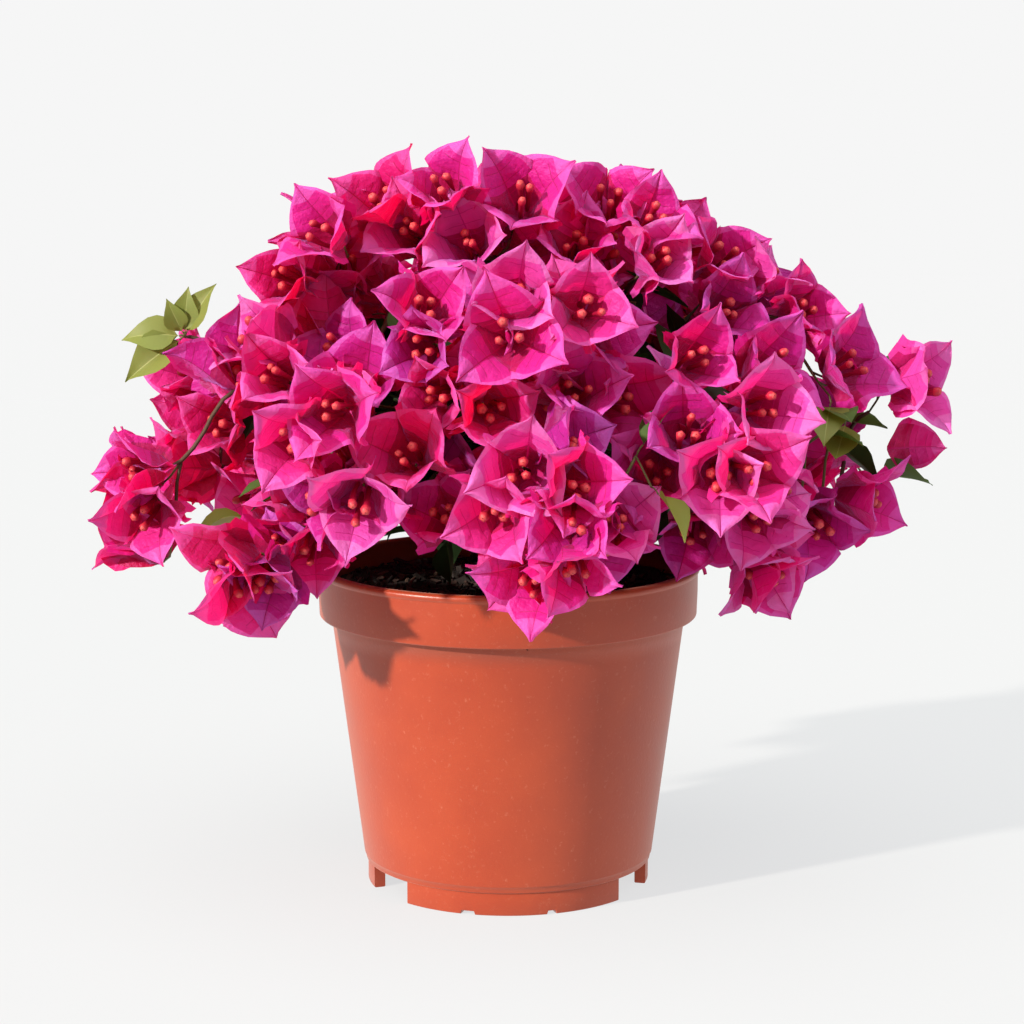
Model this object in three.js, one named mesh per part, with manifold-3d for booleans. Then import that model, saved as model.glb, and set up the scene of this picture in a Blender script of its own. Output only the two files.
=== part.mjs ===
// A bougainvillea bush in full flower in its moulded pot. Millimetres, +Z up, the front towards -Y.
// The origin is on the ground under the middle of the pot.
import * as THREE from "three";
import Module from "manifold-3d";

// ---- Driving dimensions -------------------------------------------------------------------------

const GAP = 0.4; // clearance left between neighbouring solids

const POT_HEIGHT = 160;
const RIM_RADIUS = 95; // outside of the rim band
const LIP_RADIUS = 93.4; // where the rounded lip meets the flat top
const LIP_INNER_RADIUS = 91;
const BAND_HEIGHT = 25; // depth of the rim band
const BAND_ROUND = 4; // rounding of the band's lower edge
const BODY_TOP_RADIUS = 87.6; // body where it meets the band
const BODY_BOTTOM_RADIUS = 72.4; // body just above the foot
const WALL = 2.2;
const FOOT_HEIGHT = 10.7;
const FOOT_STEP_HEIGHT = 14.4; // where the step out to the body ends
const FOOT_RADIUS = 70.5;
const FOOT_WALL = 3;
const FLOOR_THICKNESS = 2.6;
const POT_SEGMENTS = 48;

const NOTCH_COUNT = 3;
const NOTCH_ANGLE = 26; // degrees of the foot ring that each notch takes away
const NOTCH_TURN = 93; // degrees from +X to the middle of one notch
const DRAIN_COUNT = 6;
const DRAIN_RADIUS = 5;
const DRAIN_CIRCLE = 46; // radius of the circle the drain holes sit on

const SOIL_LEVEL = 147;
const SOIL_UNEVEN = 2.2;

const STEM_FOOT = [3, 6, 152.6];
const STEM_TOP = [-2, 1, 193];
const STEM_RADIUS = 8.5;
const STEM_FLARE = 12.5;

const BOUGH_RADIUS = 4; // at the fork
const BOUGH_TIP_RADIUS = 2.5;
const TWIG_RADIUS = 2.4; // the thin limbs that carry the outlying sprays
const TWIG_TIP_RADIUS = 1.5;

// The open heart of the crown, bare of leaf and blossom, where the stem forks.
const HEART = { at: [0, 0, 196], half: [46, 46, 50] };

// Every clump of blossom: its middle, and its half sizes along X, Y and Z.
const CLUMPS = [
  { name: "crown_top", at: [-22, -8, 333], half: [40, 46, 44] },
  { name: "crown_top_left", at: [-78, -8, 313], half: [42, 50, 36] },
  { name: "crown_top_right", at: [58, -4, 316], half: [40, 50, 38] },
  { name: "crown_top_back", at: [2, 66, 311], half: [60, 50, 43] },
  { name: "front_high", at: [6, -92, 276], half: [62, 52, 44] },
  { name: "front_left", at: [-74, -104, 226], half: [44, 44, 46] },
  { name: "front_low", at: [-30, -98, 212], half: [28, 30, 27] },
  { name: "front_middle", at: [22, -130, 203], half: [38, 46, 49] },
  { name: "front_right", at: [98, -98, 238], half: [46, 46, 50] },
  { name: "lower_right", at: [116, -50, 187], half: [37, 42, 47] },
  { name: "shoulder_right", at: [114, -4, 280], half: [41, 46, 44] },
  { name: "shoulder_left", at: [-110, -18, 264], half: [38, 46, 44] },
  { name: "side_left", at: [-144, 18, 218], half: [38, 50, 45] },
  { name: "hanging_left", at: [-182, -26, 197], half: [32, 34, 34] },
  { name: "lower_left", at: [-113, -74, 167], half: [36, 34, 31] },
  { name: "side_right", at: [139, 42, 215], half: [40, 50, 45] },
  { name: "back_high_left", at: [-82, 72, 266], half: [52, 54, 50] },
  { name: "back_high_right", at: [80, 74, 268], half: [54, 54, 50] },
  { name: "back_middle", at: [2, 128, 226], half: [50, 50, 52] },
  { name: "back_low_left", at: [-98, 92, 192], half: [48, 48, 44] },
  { name: "back_low_right", at: [90, 96, 190], half: [48, 48, 44] },
  { name: "spray_right_high", at: [175, 0, 263], half: [27, 27, 25] },
  { name: "spray_right_tip", at: [197, -4, 239], half: [20, 22, 28] },
  { name: "spray_right_low", at: [177, -14, 183], half: [20, 24, 26] },
  { name: "sprig_left", at: [-174, -2, 273], half: [16, 17, 16] },
];
const SMALL_CLUMP = 36; // a clump under this mean half size is drawn with fewer faces
const LUMP = 0.11; // how far the lumps of blossom stand out, as a share of the radius
const TIPS = 0.06; // and how far the tips of single bracts stand out from those lumps

// The clump that the leader grows up into, the clumps that the boughs round it lead to, in the order
// they leave the fork, and the thin limbs that run on through the air from clump to clump.
const LEADER = "crown_top";
const LEAFY_CLUMP = "sprig_left"; // the one clump of leaves without blossom
const BOUGHS = [
  "shoulder_right",
  "back_high_right",
  "back_middle",
  "back_high_left",
  "shoulder_left",
  "front_left",
  "front_high",
  "front_middle",
  "front_right",
];
const FIRST_BOUGH_TURN = 8; // degrees from +X
const TWIGS = [
  ["side_right", "spray_right_tip"],
  ["lower_right", "spray_right_low"],
  ["shoulder_left", "sprig_left"],
];

// ---- Tools --------------------------------------------------------------------------------------

const wasm = await Module();
wasm.setup();

const vector = (p) => new THREE.Vector3(...p);
const radians = (degrees) => (degrees * Math.PI) / 180;

// A three.js geometry as a manifold-3d solid, with the doubled vertices merged.
function solid(geometry) {
  const flat = geometry.index ? geometry.toNonIndexed() : geometry;
  const position = flat.getAttribute("position");
  const seen = new Map();
  const points = [];
  const corners = [];
  for (let i = 0; i < position.count; i++) {
    const p = [position.getX(i), position.getY(i), position.getZ(i)];
    const key = p.map((v) => Math.round(v * 1e4)).join();
    if (!seen.has(key)) {
      seen.set(key, seen.size);
      points.push(...p);
    }
    corners.push(seen.get(key));
  }
  const faces = [];
  for (let i = 0; i < corners.length; i += 3) {
    const [a, b, c] = corners.slice(i, i + 3);
    if (a !== b && b !== c && c !== a) faces.push(a, b, c);
  }
  return new wasm.Manifold(
    new wasm.Mesh({
      numProp: 3,
      vertProperties: new Float32Array(points),
      triVerts: new Uint32Array(faces),
    }),
  );
}

// A manifold-3d solid as a named three.js mesh.
function part(name, body, finish) {
  const mesh = body.getMesh();
  const geometry = new THREE.BufferGeometry();
  geometry.setAttribute("position", new THREE.BufferAttribute(mesh.vertProperties, 3));
  geometry.setIndex(new THREE.BufferAttribute(mesh.triVerts, 1));
  geometry.computeVertexNormals();
  const made = new THREE.Mesh(geometry, new THREE.MeshStandardMaterial({ ...finish, flatShading: true }));
  made.name = name;
  return made;
}

// A profile of [radius, height] pairs turned about the Z axis.
function turned(profile, segments = POT_SEGMENTS) {
  const points = profile.map(([r, z]) => new THREE.Vector2(r, z));
  const geometry = new THREE.LatheGeometry(points, segments);
  geometry.rotateX(Math.PI / 2);
  return geometry;
}

// Soft lumps over a ball of directions, the same every time for the same seed, from about -1 to 1.
function lumps(direction, seed) {
  let sum = 0;
  for (let k = 0; k < 4; k++) {
    const turn = seed * 1.7 + k * 2.4;
    const wave = new THREE.Vector3(Math.sin(turn), Math.cos(turn * 1.3), Math.sin(turn * 0.7 + 1));
    sum += Math.sin(wave.normalize().dot(direction) * (3.2 + k) + turn * 3) / 2.4;
  }
  return sum;
}

// A tapering limb of round section along a curve, closed at both ends.
function limb(curve, radiusAt, rings = 5, sides = 7) {
  const frames = curve.computeFrenetFrames(rings, false);
  const points = [];
  for (let i = 0; i <= rings; i++) {
    const middle = curve.getPoint(i / rings);
    for (let j = 0; j < sides; j++) {
      const turn = (2 * Math.PI * j) / sides;
      const out = frames.normals[i].clone().multiplyScalar(Math.cos(turn));
      out.addScaledVector(frames.binormals[i], Math.sin(turn));
      points.push(middle.clone().addScaledVector(out, radiusAt(i / rings)));
    }
  }
  const first = points.push(curve.getPoint(0)) - 1;
  const last = points.push(curve.getPoint(1)) - 1;
  const faces = [];
  for (let j = 0; j < sides; j++) {
    const next = (j + 1) % sides;
    for (let i = 0; i < rings; i++) {
      const a = i * sides;
      const b = a + sides;
      faces.push(a + j, a + next, b + next, a + j, b + next, b + j);
    }
    faces.push(first, next, j);
    faces.push(last, rings * sides + j, rings * sides + next);
  }
  const geometry = new THREE.BufferGeometry().setFromPoints(points);
  geometry.setIndex(faces);
  return solid(geometry);
}

// ---- Pot ----------------------------------------------------------------------------------------

const bandFoot = POT_HEIGHT - BAND_HEIGHT;
const floorTop = FOOT_HEIGHT + FLOOR_THICKNESS;

function pot() {
  const outside = [
    [0, FOOT_HEIGHT],
    [FOOT_RADIUS - FOOT_WALL, FOOT_HEIGHT],
    [FOOT_RADIUS - FOOT_WALL, 0],
    [FOOT_RADIUS, 0],
    [FOOT_RADIUS, FOOT_HEIGHT],
    [BODY_BOTTOM_RADIUS, FOOT_STEP_HEIGHT],
    [BODY_TOP_RADIUS, bandFoot],
    [RIM_RADIUS - BAND_ROUND, bandFoot + 0.4],
    [RIM_RADIUS - BAND_ROUND * 0.3, bandFoot + BAND_ROUND * 0.35],
    [RIM_RADIUS - 0.4, bandFoot + BAND_ROUND],
    [RIM_RADIUS, POT_HEIGHT - 3],
    [RIM_RADIUS - 0.5, POT_HEIGHT - 1],
    [LIP_RADIUS, POT_HEIGHT],
    [LIP_INNER_RADIUS, POT_HEIGHT],
  ];
  const inside = [
    [LIP_INNER_RADIUS - 1, POT_HEIGHT - 1.5],
    [LIP_INNER_RADIUS - 1, bandFoot + BAND_ROUND],
    [BODY_TOP_RADIUS - WALL, bandFoot],
    [BODY_BOTTOM_RADIUS - WALL, floorTop],
    [0, floorTop],
  ];
  let body = solid(turned([...outside, ...inside]));
  for (let i = 0; i < NOTCH_COUNT; i++) {
    const width = 2 * FOOT_RADIUS * Math.sin(radians(NOTCH_ANGLE / 2));
    const notch = new THREE.BoxGeometry(40, width, FOOT_HEIGHT + 1);
    notch.translate(FOOT_RADIUS, 0, (FOOT_HEIGHT - 1) / 2 - 0.01);
    notch.rotateZ(radians(NOTCH_TURN + (360 / NOTCH_COUNT) * i));
    body = body.subtract(solid(notch));
  }
  for (let i = 0; i < DRAIN_COUNT; i++) {
    const hole = new THREE.CylinderGeometry(DRAIN_RADIUS, DRAIN_RADIUS, 10, 12);
    hole.rotateX(Math.PI / 2);
    hole.translate(DRAIN_CIRCLE, 0, floorTop);
    hole.rotateZ(radians(NOTCH_TURN + (360 / DRAIN_COUNT) * i));
    body = body.subtract(solid(hole));
  }
  return body;
}

// ---- Compost ------------------------------------------------------------------------------------

function soil() {
  const bandRadius = LIP_INNER_RADIUS - 1 - GAP;
  const profile = [
    [0, floorTop + GAP],
    [BODY_BOTTOM_RADIUS - WALL - GAP, floorTop + GAP],
    [BODY_TOP_RADIUS - WALL - 2 * GAP, bandFoot],
    [bandRadius, bandFoot + BAND_ROUND + GAP],
    [bandRadius, SOIL_LEVEL - 2],
    [78, SOIL_LEVEL],
    [56, SOIL_LEVEL],
    [32, SOIL_LEVEL],
    [0, SOIL_LEVEL + 1],
  ];
  const geometry = turned(profile, 32);
  const position = geometry.getAttribute("position");
  for (let i = 0; i < position.count; i++) {
    const [x, y, z] = [position.getX(i), position.getY(i), position.getZ(i)];
    if (z < SOIL_LEVEL - 3) continue;
    const rise = Math.sin(x / 11 + 1) * Math.cos(y / 13) + 0.6 * Math.sin((x - y) / 7);
    position.setZ(i, z + (SOIL_UNEVEN * rise) / 1.6);
  }
  return solid(geometry);
}

// ---- Clumps of blossom --------------------------------------------------------------------------

const clumps = CLUMPS.map((row, index) => ({ ...row, seed: index + 1, middle: vector(row.at) }));
const clumpNamed = (name) => clumps.find((clump) => clump.name === name);

// The clump's own radius in a direction, before its neighbours press on it.
function freeRadius(clump, direction) {
  const [a, b, c] = clump.half;
  const even = 1 / Math.hypot(direction.x / a, direction.y / b, direction.z / c);
  const across = Math.sin(direction.x * 13 + clump.seed) * Math.sin(direction.y * 12);
  const tips = across * Math.cos(direction.z * 14);
  return even * (1 + LUMP * (lumps(direction, clump.seed) - 0.2) + TIPS * tips);
}

// The flat seam between two neighbours: how far it stands from the first one's middle.
function seam(clump, other) {
  const across = other.middle.clone().sub(clump.middle);
  const distance = across.length();
  across.normalize();
  const mine = freeRadius(clump, across);
  const theirs = freeRadius(other, across.clone().negate());
  return { across, distance: (distance * mine) / (mine + theirs) - GAP / 2 };
}

for (const clump of clumps) {
  clump.seams = clumps.filter((other) => other !== clump).map((other) => seam(clump, other));
}

function radius(clump, direction) {
  let found = freeRadius(clump, direction);
  for (const { across, distance } of clump.seams) {
    const facing = across.dot(direction);
    if (facing > 1e-6) found = Math.min(found, distance / facing);
  }
  return found;
}

// The pot and the open heart, each a little larger than it is, to be kept clear of every clump.
const potSpace = new THREE.CylinderGeometry(RIM_RADIUS + 1.5, RIM_RADIUS + 1.5, POT_HEIGHT + 4, 36);
potSpace.rotateX(Math.PI / 2);
potSpace.translate(0, 0, POT_HEIGHT / 2);
const heartSpace = new THREE.IcosahedronGeometry(1, 2);
heartSpace.scale(...HEART.half);
heartSpace.translate(...HEART.at);
const clear = solid(potSpace).add(solid(heartSpace));

function blossom(clump) {
  const mean = clump.half.reduce((sum, size) => sum + size / 3, 0);
  const ball = new THREE.IcosahedronGeometry(1, mean < SMALL_CLUMP ? 2 : 3);
  const position = ball.getAttribute("position");
  for (let i = 0; i < position.count; i++) {
    const direction = new THREE.Vector3().fromBufferAttribute(position, i).normalize();
    const point = direction.clone().multiplyScalar(radius(clump, direction)).add(clump.middle);
    position.setXYZ(i, point.x, point.y, point.z);
  }
  return solid(ball).subtract(clear);
}

// ---- Stem, boughs and twigs ---------------------------------------------------------------------

const fork = vector(STEM_TOP);

function stem() {
  const foot = vector(STEM_FOOT);
  const bend = foot.clone().lerp(fork, 0.5).add(new THREE.Vector3(3, -2, 0));
  const curve = new THREE.QuadraticBezierCurve3(foot, bend, fork);
  const width = (t) => STEM_RADIUS + (STEM_FLARE - STEM_RADIUS) * Math.exp(-6 * t);
  return limb(curve, width, 6, 10);
}

// Whether a point is inside a clump grown by a margin, leaving out what was cut from it.
function inside(clump, point, margin) {
  const out = point.clone().sub(clump.middle);
  const far = out.length();
  return far < radius(clump, out.normalize()) + margin;
}

// The part of a curve from share a to share b, as a curve.
function stretch(curve, a, b) {
  const points = [];
  for (let i = 0; i <= 8; i++) points.push(curve.getPoint(a + ((b - a) * i) / 8));
  return new THREE.CatmullRomCurve3(points);
}

// A bough runs from a point at the fork through a bend, and ends where it would enter blossom.
function bough(name, start, bend) {
  const clump = clumpNamed(name);
  const curve = new THREE.QuadraticBezierCurve3(start, bend, clump.middle);
  let end = 0;
  const solidAt = (p) => {
    const heart = p.clone().sub(vector(HEART.at)).divide(vector(HEART.half)).length();
    return heart > 0.9 && clumps.some((other) => inside(other, p, BOUGH_TIP_RADIUS + 1.2));
  };
  while (end < 1 && !solidAt(curve.getPoint(end))) end += 0.01;
  const width = (t) => BOUGH_RADIUS + (BOUGH_TIP_RADIUS - BOUGH_RADIUS) * t;
  return limb(stretch(curve, 0, end), width);
}

// The boughs leave the top of the stem evenly all round, every second one from lower down.
function sideBough(name, index) {
  const turn = radians(FIRST_BOUGH_TURN + (360 / BOUGHS.length) * index);
  const out = new THREE.Vector3(Math.cos(turn), Math.sin(turn), 0);
  const start = fork.clone().addScaledVector(out, STEM_RADIUS + BOUGH_RADIUS + 1.5);
  start.z -= 3 + 6 * (index % 2);
  const bend = start.clone().addScaledVector(out, 16);
  bend.z += 18;
  return bough(name, start, bend);
}

// The leader carries on above the stem.
function leader() {
  const start = fork.clone().add(new THREE.Vector3(0, 0, 3));
  const bend = start.clone().add(new THREE.Vector3(4, -2, 50));
  return bough(LEADER, start, bend);
}

// A twig crosses open air from one clump to the next.
function twig(from, to) {
  const [a, b] = [clumpNamed(from), clumpNamed(to)];
  const sag = a.middle.clone().lerp(b.middle, 0.5);
  sag.z += 5;
  const curve = new THREE.QuadraticBezierCurve3(a.middle, sag, b.middle);
  let start = 0;
  let end = 1;
  const margin = TWIG_RADIUS + 0.8;
  while (start < 1 && inside(a, curve.getPoint(start), margin)) start += 0.005;
  while (end > start && inside(b, curve.getPoint(end), margin)) end -= 0.005;
  const width = (t) => TWIG_RADIUS + (TWIG_TIP_RADIUS - TWIG_RADIUS) * t;
  return limb(stretch(curve, start, end), width, 4, 6);
}

// ---- The whole plant ----------------------------------------------------------------------------

const TERRACOTTA = { color: 0xd2603c, roughness: 0.45, metalness: 0 }; // satin moulded plastic
const COMPOST = { color: 0x2e241d, roughness: 0.95, metalness: 0 };
const BARK = { color: 0x8a6f52, roughness: 0.85, metalness: 0 };
const BRACT = { color: 0xd01878, roughness: 0.6, metalness: 0 };
const LEAF = { color: 0x66702c, roughness: 0.5, metalness: 0 };

const container = new THREE.Group();
container.add(part("pot", pot(), TERRACOTTA));
container.add(part("soil", soil(), COMPOST));

const wood = new THREE.Group();
wood.add(part("stem", stem(), BARK));
wood.add(part("leader", leader(), BARK));
for (const [index, name] of BOUGHS.entries()) {
  wood.add(part("bough_" + name, sideBough(name, index), BARK));
}
for (const [from, to] of TWIGS) {
  wood.add(part("twig_" + to, twig(from, to), BARK));
}

const crown = new THREE.Group();
for (const clump of clumps) {
  const finish = clump.name === LEAFY_CLUMP ? LEAF : BRACT;
  crown.add(part("mass_" + clump.name, blossom(clump), finish));
}

const bush = new THREE.Group();
bush.add(wood, crown);
const plant = new THREE.Group();
plant.name = "potted_bougainvillea";
plant.add(container, bush);

export default plant;
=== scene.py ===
# %% [markdown]
# A bougainvillea in full flower, grown as a bushy mound in a moulded nursery pot. What looks like
# petals is papery bracts, three round each group of three slender flower tubes.
# This lesson builds it round the solids of the frame: the pot, then the blooms where the frame's masses
# are, the stem and boughs, the twigs that grow on from them to the blooms, the leaves and the compost.
# Everything is in metres, with Z up and the front towards -Y.

# %% Start from the frame
import math

import bpy
import numpy as np
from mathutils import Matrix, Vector, noise
from mathutils.bvhtree import BVHTree


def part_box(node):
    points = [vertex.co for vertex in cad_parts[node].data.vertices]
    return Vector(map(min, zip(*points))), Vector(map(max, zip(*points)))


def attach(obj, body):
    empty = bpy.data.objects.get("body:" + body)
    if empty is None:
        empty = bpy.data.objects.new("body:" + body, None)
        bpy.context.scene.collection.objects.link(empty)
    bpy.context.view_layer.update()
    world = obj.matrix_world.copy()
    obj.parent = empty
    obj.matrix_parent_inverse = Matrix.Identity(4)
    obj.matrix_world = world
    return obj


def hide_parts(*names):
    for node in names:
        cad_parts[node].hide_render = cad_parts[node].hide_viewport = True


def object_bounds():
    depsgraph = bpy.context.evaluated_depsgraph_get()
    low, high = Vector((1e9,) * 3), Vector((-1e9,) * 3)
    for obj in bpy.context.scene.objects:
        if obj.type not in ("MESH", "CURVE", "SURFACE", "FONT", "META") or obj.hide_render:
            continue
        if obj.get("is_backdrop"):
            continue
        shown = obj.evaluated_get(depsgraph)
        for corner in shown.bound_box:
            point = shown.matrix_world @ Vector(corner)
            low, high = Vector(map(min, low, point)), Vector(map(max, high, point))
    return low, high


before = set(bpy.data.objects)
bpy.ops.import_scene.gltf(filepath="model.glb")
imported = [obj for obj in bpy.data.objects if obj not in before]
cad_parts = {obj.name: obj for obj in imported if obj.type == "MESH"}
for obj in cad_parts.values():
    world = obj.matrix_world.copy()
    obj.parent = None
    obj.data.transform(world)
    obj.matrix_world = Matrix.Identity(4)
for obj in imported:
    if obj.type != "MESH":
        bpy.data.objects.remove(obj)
CAD_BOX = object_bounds()
MM = 0.001
rng = np.random.default_rng(29)  # every random choice below is drawn from this one generator
print("frame:", len(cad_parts), "solids in the box", [tuple(c) for c in CAD_BOX])

# %% [markdown]
# The camera stands a little above the crown and looks slightly down, from far enough away that a long
# lens fills the picture. A long lens keeps the pot's sides nearly parallel, as a catalogue picture
# does. It stands a hair to the right of the pot's middle.

# %% Camera
CAMERA_AWAY = 1.2517
CAMERA_HEIGHT = 0.3784
CAMERA_ASIDE = 0.0019
CAMERA_DIP = 8.783  # degrees below level
SENSOR = 36  # mm across
LENS = 89.96  # mm

camera = bpy.data.objects.new("camera", bpy.data.cameras.new("camera"))
bpy.context.scene.collection.objects.link(camera)
camera.data.sensor_width = SENSOR
camera.data.lens = LENS
camera.location = (CAMERA_ASIDE, -CAMERA_AWAY, CAMERA_HEIGHT)
camera.rotation_euler = (math.radians(90 - CAMERA_DIP), 0, 0)
bpy.context.scene.camera = camera
print("camera:", LENS, "mm lens,", CAMERA_AWAY, "m away")

# %% [markdown]
# Every finish below is a small tree of shader nodes. One helper adds a node, sets its properties and
# fills its sockets, and a socket takes either a plain value or another node's output. Colours are
# written as the hex values a painter would pick on a screen, and one function turns them linear.

# %% Helpers for finishes
def colour(hex_value):
    """The linear colour of an sRGB hex value, with an alpha of 1."""
    parts = [int(hex_value[i : i + 2], 16) / 255 for i in (1, 3, 5)]
    linear = [c / 12.92 if c <= 0.04045 else ((c + 0.055) / 1.055) ** 2.4 for c in parts]
    return (*linear, 1.0)


def add(tree, kind, sockets=None, **settings):
    """A new node with its settings, and its sockets filled with values or linked to other nodes."""
    made = tree.nodes.new(kind)
    for name, value in settings.items():
        setattr(made, name, value)
    for name, value in (sockets or {}).items():
        if isinstance(value, bpy.types.NodeSocket):
            tree.links.new(value, made.inputs[name])
        else:
            made.inputs[name].default_value = value
    return made


def finish(name):
    """An empty material and its tree of nodes."""
    material = bpy.data.materials.new(name)
    material.use_nodes = True
    material.node_tree.nodes.clear()
    return material, material.node_tree


def show(tree, shader):
    """The shader becomes the material's surface."""
    add(tree, "ShaderNodeOutputMaterial", {"Surface": shader.outputs[0]})


print("mid grey #808080 is", round(colour("#808080")[0], 3), "in linear light")

# %% [markdown]
# The studio is a pale floor under a pale sky. One low key light from the front left throws a clear
# shadow to the back right, a wide soft light hangs overhead, and a white card at the right bounces some
# light back into the shaded side. The lamps could be area lights near the plant, but distant ones light
# every side of it evenly, wherever it is looked at from. The floor is a disc that fades out at its rim,
# so no horizon shows. It glows a little, as an over-lit studio floor does, which keeps its shadows faint.

# %% Studio
FLOOR_RADIUS = 6.0
KEY_TURN = 34.6  # degrees from +X to the way the key light travels
KEY_RISE = 24.0  # degrees of the key light above the floor
KEY_STRENGTH = 5.9
KEY_WIDE = 2.6  # degrees across, so that the shadow's edge is a little soft
TOP_STRENGTH = 2.7
TOP_WIDE = 70
TOP_TRAVEL = (0.12, 0.3, -1)
BOUNCE_STRENGTH = 1.1
BOUNCE_WIDE = 90
BOUNCE_TRAVEL = (-0.8, 0.5, -0.3)
SKY_FILL = 0.16
FLOOR_GLOW = 0.695
FADE = (1.2, 5.0)  # metres from the middle where the floor starts to fade and where it is gone

bpy.context.scene.view_settings.view_transform = "Standard"
world = bpy.data.worlds.new("studio")
bpy.context.scene.world = world
world.use_nodes = True
sky = world.node_tree
sky.nodes.clear()
seen = add(sky, "ShaderNodeLightPath")
fill = add(sky, "ShaderNodeBackground", {"Color": colour("#F6F4F6"), "Strength": SKY_FILL})
backdrop = add(sky, "ShaderNodeBackground", {"Color": colour("#F6F6F6"), "Strength": 1.0})
views = {0: seen.outputs["Is Camera Ray"], 1: fill.outputs[0], 2: backdrop.outputs[0]}
both = add(sky, "ShaderNodeMixShader", views)
add(sky, "ShaderNodeOutputWorld", {"Surface": both.outputs[0]})


def sun(name, strength, width, shade, travel):
    """A distant lamp as wide in the sky as an angle in degrees, whose light travels one way."""
    lamp = bpy.data.objects.new(name, bpy.data.lights.new(name, "SUN"))
    bpy.context.scene.collection.objects.link(lamp)
    lamp.data.energy = strength
    lamp.data.angle = math.radians(width)
    lamp.data.color = colour(shade)[:3]
    lamp.rotation_euler = Vector(travel).to_track_quat("-Z", "Y").to_euler()


turn, rise = math.radians(KEY_TURN), math.radians(KEY_RISE)
low = (math.cos(turn) * math.cos(rise), math.sin(turn) * math.cos(rise), -math.sin(rise))
sun("key", KEY_STRENGTH, KEY_WIDE, "#FFF6EA", low)
sun("overhead", TOP_STRENGTH, TOP_WIDE, "#FFFAF6", TOP_TRAVEL)
sun("bounce", BOUNCE_STRENGTH, BOUNCE_WIDE, "#FFFFFF", BOUNCE_TRAVEL)


def floor_finish():
    """Matt studio paper that fades away far from the middle."""
    material, tree = finish("studio_paper")
    place = add(tree, "ShaderNodeNewGeometry")
    away = add(tree, "ShaderNodeVectorMath", {0: place.outputs["Position"]}, operation="LENGTH")
    fading_out = {"Value": away.outputs["Value"], "From Min": FADE[0], "From Max": FADE[1]}
    fade = add(tree, "ShaderNodeMapRange", fading_out)
    matt = add(tree, "ShaderNodeBsdfDiffuse", {"Color": colour("#656666")})
    glow = add(tree, "ShaderNodeEmission", {"Color": (0.97, 0.99, 1, 1), "Strength": FLOOR_GLOW})
    paper = add(tree, "ShaderNodeAddShader", {0: matt.outputs[0], 1: glow.outputs[0]})
    clear = add(tree, "ShaderNodeBsdfTransparent")
    fading = {0: fade.outputs[0], 1: paper.outputs[0], 2: clear.outputs[0]}
    show(tree, add(tree, "ShaderNodeMixShader", fading))
    return material


bpy.ops.mesh.primitive_circle_add(vertices=96, radius=FLOOR_RADIUS, fill_type="NGON")
floor = bpy.context.object
floor.name = "studio_floor"
floor.data.materials.append(floor_finish())
floor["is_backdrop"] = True
print("studio: key light", KEY_RISE, "degrees above a floor", 2 * FLOOR_RADIUS, "m across")

# %% [markdown]
# Most pieces are made as arrays of points and faces, so one helper turns such arrays into an object
# that rides on the plant's only body. A face's finish is picked by its number in the list of finishes.
# A piece of many small sheets also gets a map named OFBake, a flat place for every point, so that its
# finish can be painted onto it evenly. The name of that map, OFBake, is the one the export looks for
# and keeps.

# %% Helper for pieces
def piece(name, points, faces, finishes, picks=None, smooth=True, places=None):
    """An object made of points and faces, with its finishes, its slot and, where given, its map."""
    mesh = bpy.data.meshes.new(name)
    mesh.from_pydata(np.asarray(points).tolist(), [], [list(map(int, f)) for f in faces])
    for material in finishes:
        mesh.materials.append(material)
    if picks is not None:
        mesh.polygons.foreach_set("material_index", np.asarray(picks, dtype=np.int32))
    mesh.polygons.foreach_set("use_smooth", np.full(len(mesh.polygons), smooth))
    if places is not None:
        corners = np.empty(len(mesh.loops), dtype=np.int32)
        mesh.loops.foreach_get("vertex_index", corners)
        chart = mesh.uv_layers.new(name="OFBake")
        chart.data.foreach_set("uv", np.asarray(places, dtype=np.float32)[corners].ravel())
    mesh.update()
    made = bpy.data.objects.new(name, mesh)
    bpy.context.scene.collection.objects.link(made)
    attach(made, "root")
    return made


# %% [markdown]
# The pot is injection-moulded polypropylene in a terracotta colour. Moulding gives it one thin wall,
# a rolled lip, a deep rim band with a sharp lower edge, and a foot ring cut into three feet so that
# water drains away. It could be a solid of revolution from a modifier, but a profile turned in code
# keeps every radius a named size. The feet are swept separately, because they stop and start.

# %% Pot sizes
POT_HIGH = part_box("pot")[1]
RIM = POT_HIGH.x
POT_TOP = POT_HIGH.z
BAND_FOOT = POT_TOP - 25 * MM
BAND = RIM - 0.7 * MM
BODY_TOP = RIM - 7.4 * MM
BODY_FOOT = RIM - 22.6 * MM
FOOT = RIM - 24.5 * MM
FOOT_WALL = 5.5 * MM
FOOT_TOP = 10.7 * MM
WALL = 2.2 * MM
NOTCHES = [93, 213, 333]  # degrees from +X to the middle of each gap in the foot ring
NOTCH = 26  # degrees that each gap takes
NICKS = {-106: 2.6, -72.5: 1.9}  # small chips in the front foot: where they are, and half their width


def turned(profile, segments, sweep=(0, 360)):
    """Points and faces of a profile of (radius, height) swept round the Z axis."""
    whole = sweep[1] - sweep[0] == 360
    steps = np.radians(np.linspace(*sweep, segments + 1))[: segments if whole else None]
    profile = np.array(profile)
    around = np.stack([np.cos(steps), np.sin(steps)], 1)
    points = np.empty((len(steps), len(profile), 3))
    points[:, :, :2] = profile[None, :, :1] * around[:, None, :]
    points[:, :, 2] = profile[None, :, 1]
    rows, columns = len(steps), len(profile)
    faces = []
    for i in range(rows if whole else rows - 1):
        for j in range(columns - 1):
            a, b = i * columns + j, ((i + 1) % rows) * columns + j
            faces.append((a, b, b + 1, a + 1))
    return points.reshape(-1, 3), faces


def bend(centre, radius, start, end, steps):
    """A round corner in a profile, from one angle to another in degrees."""
    angles = np.radians(np.linspace(start, end, steps))
    return [(centre[0] + radius * math.cos(a), centre[1] + radius * math.sin(a)) for a in angles]


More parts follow.
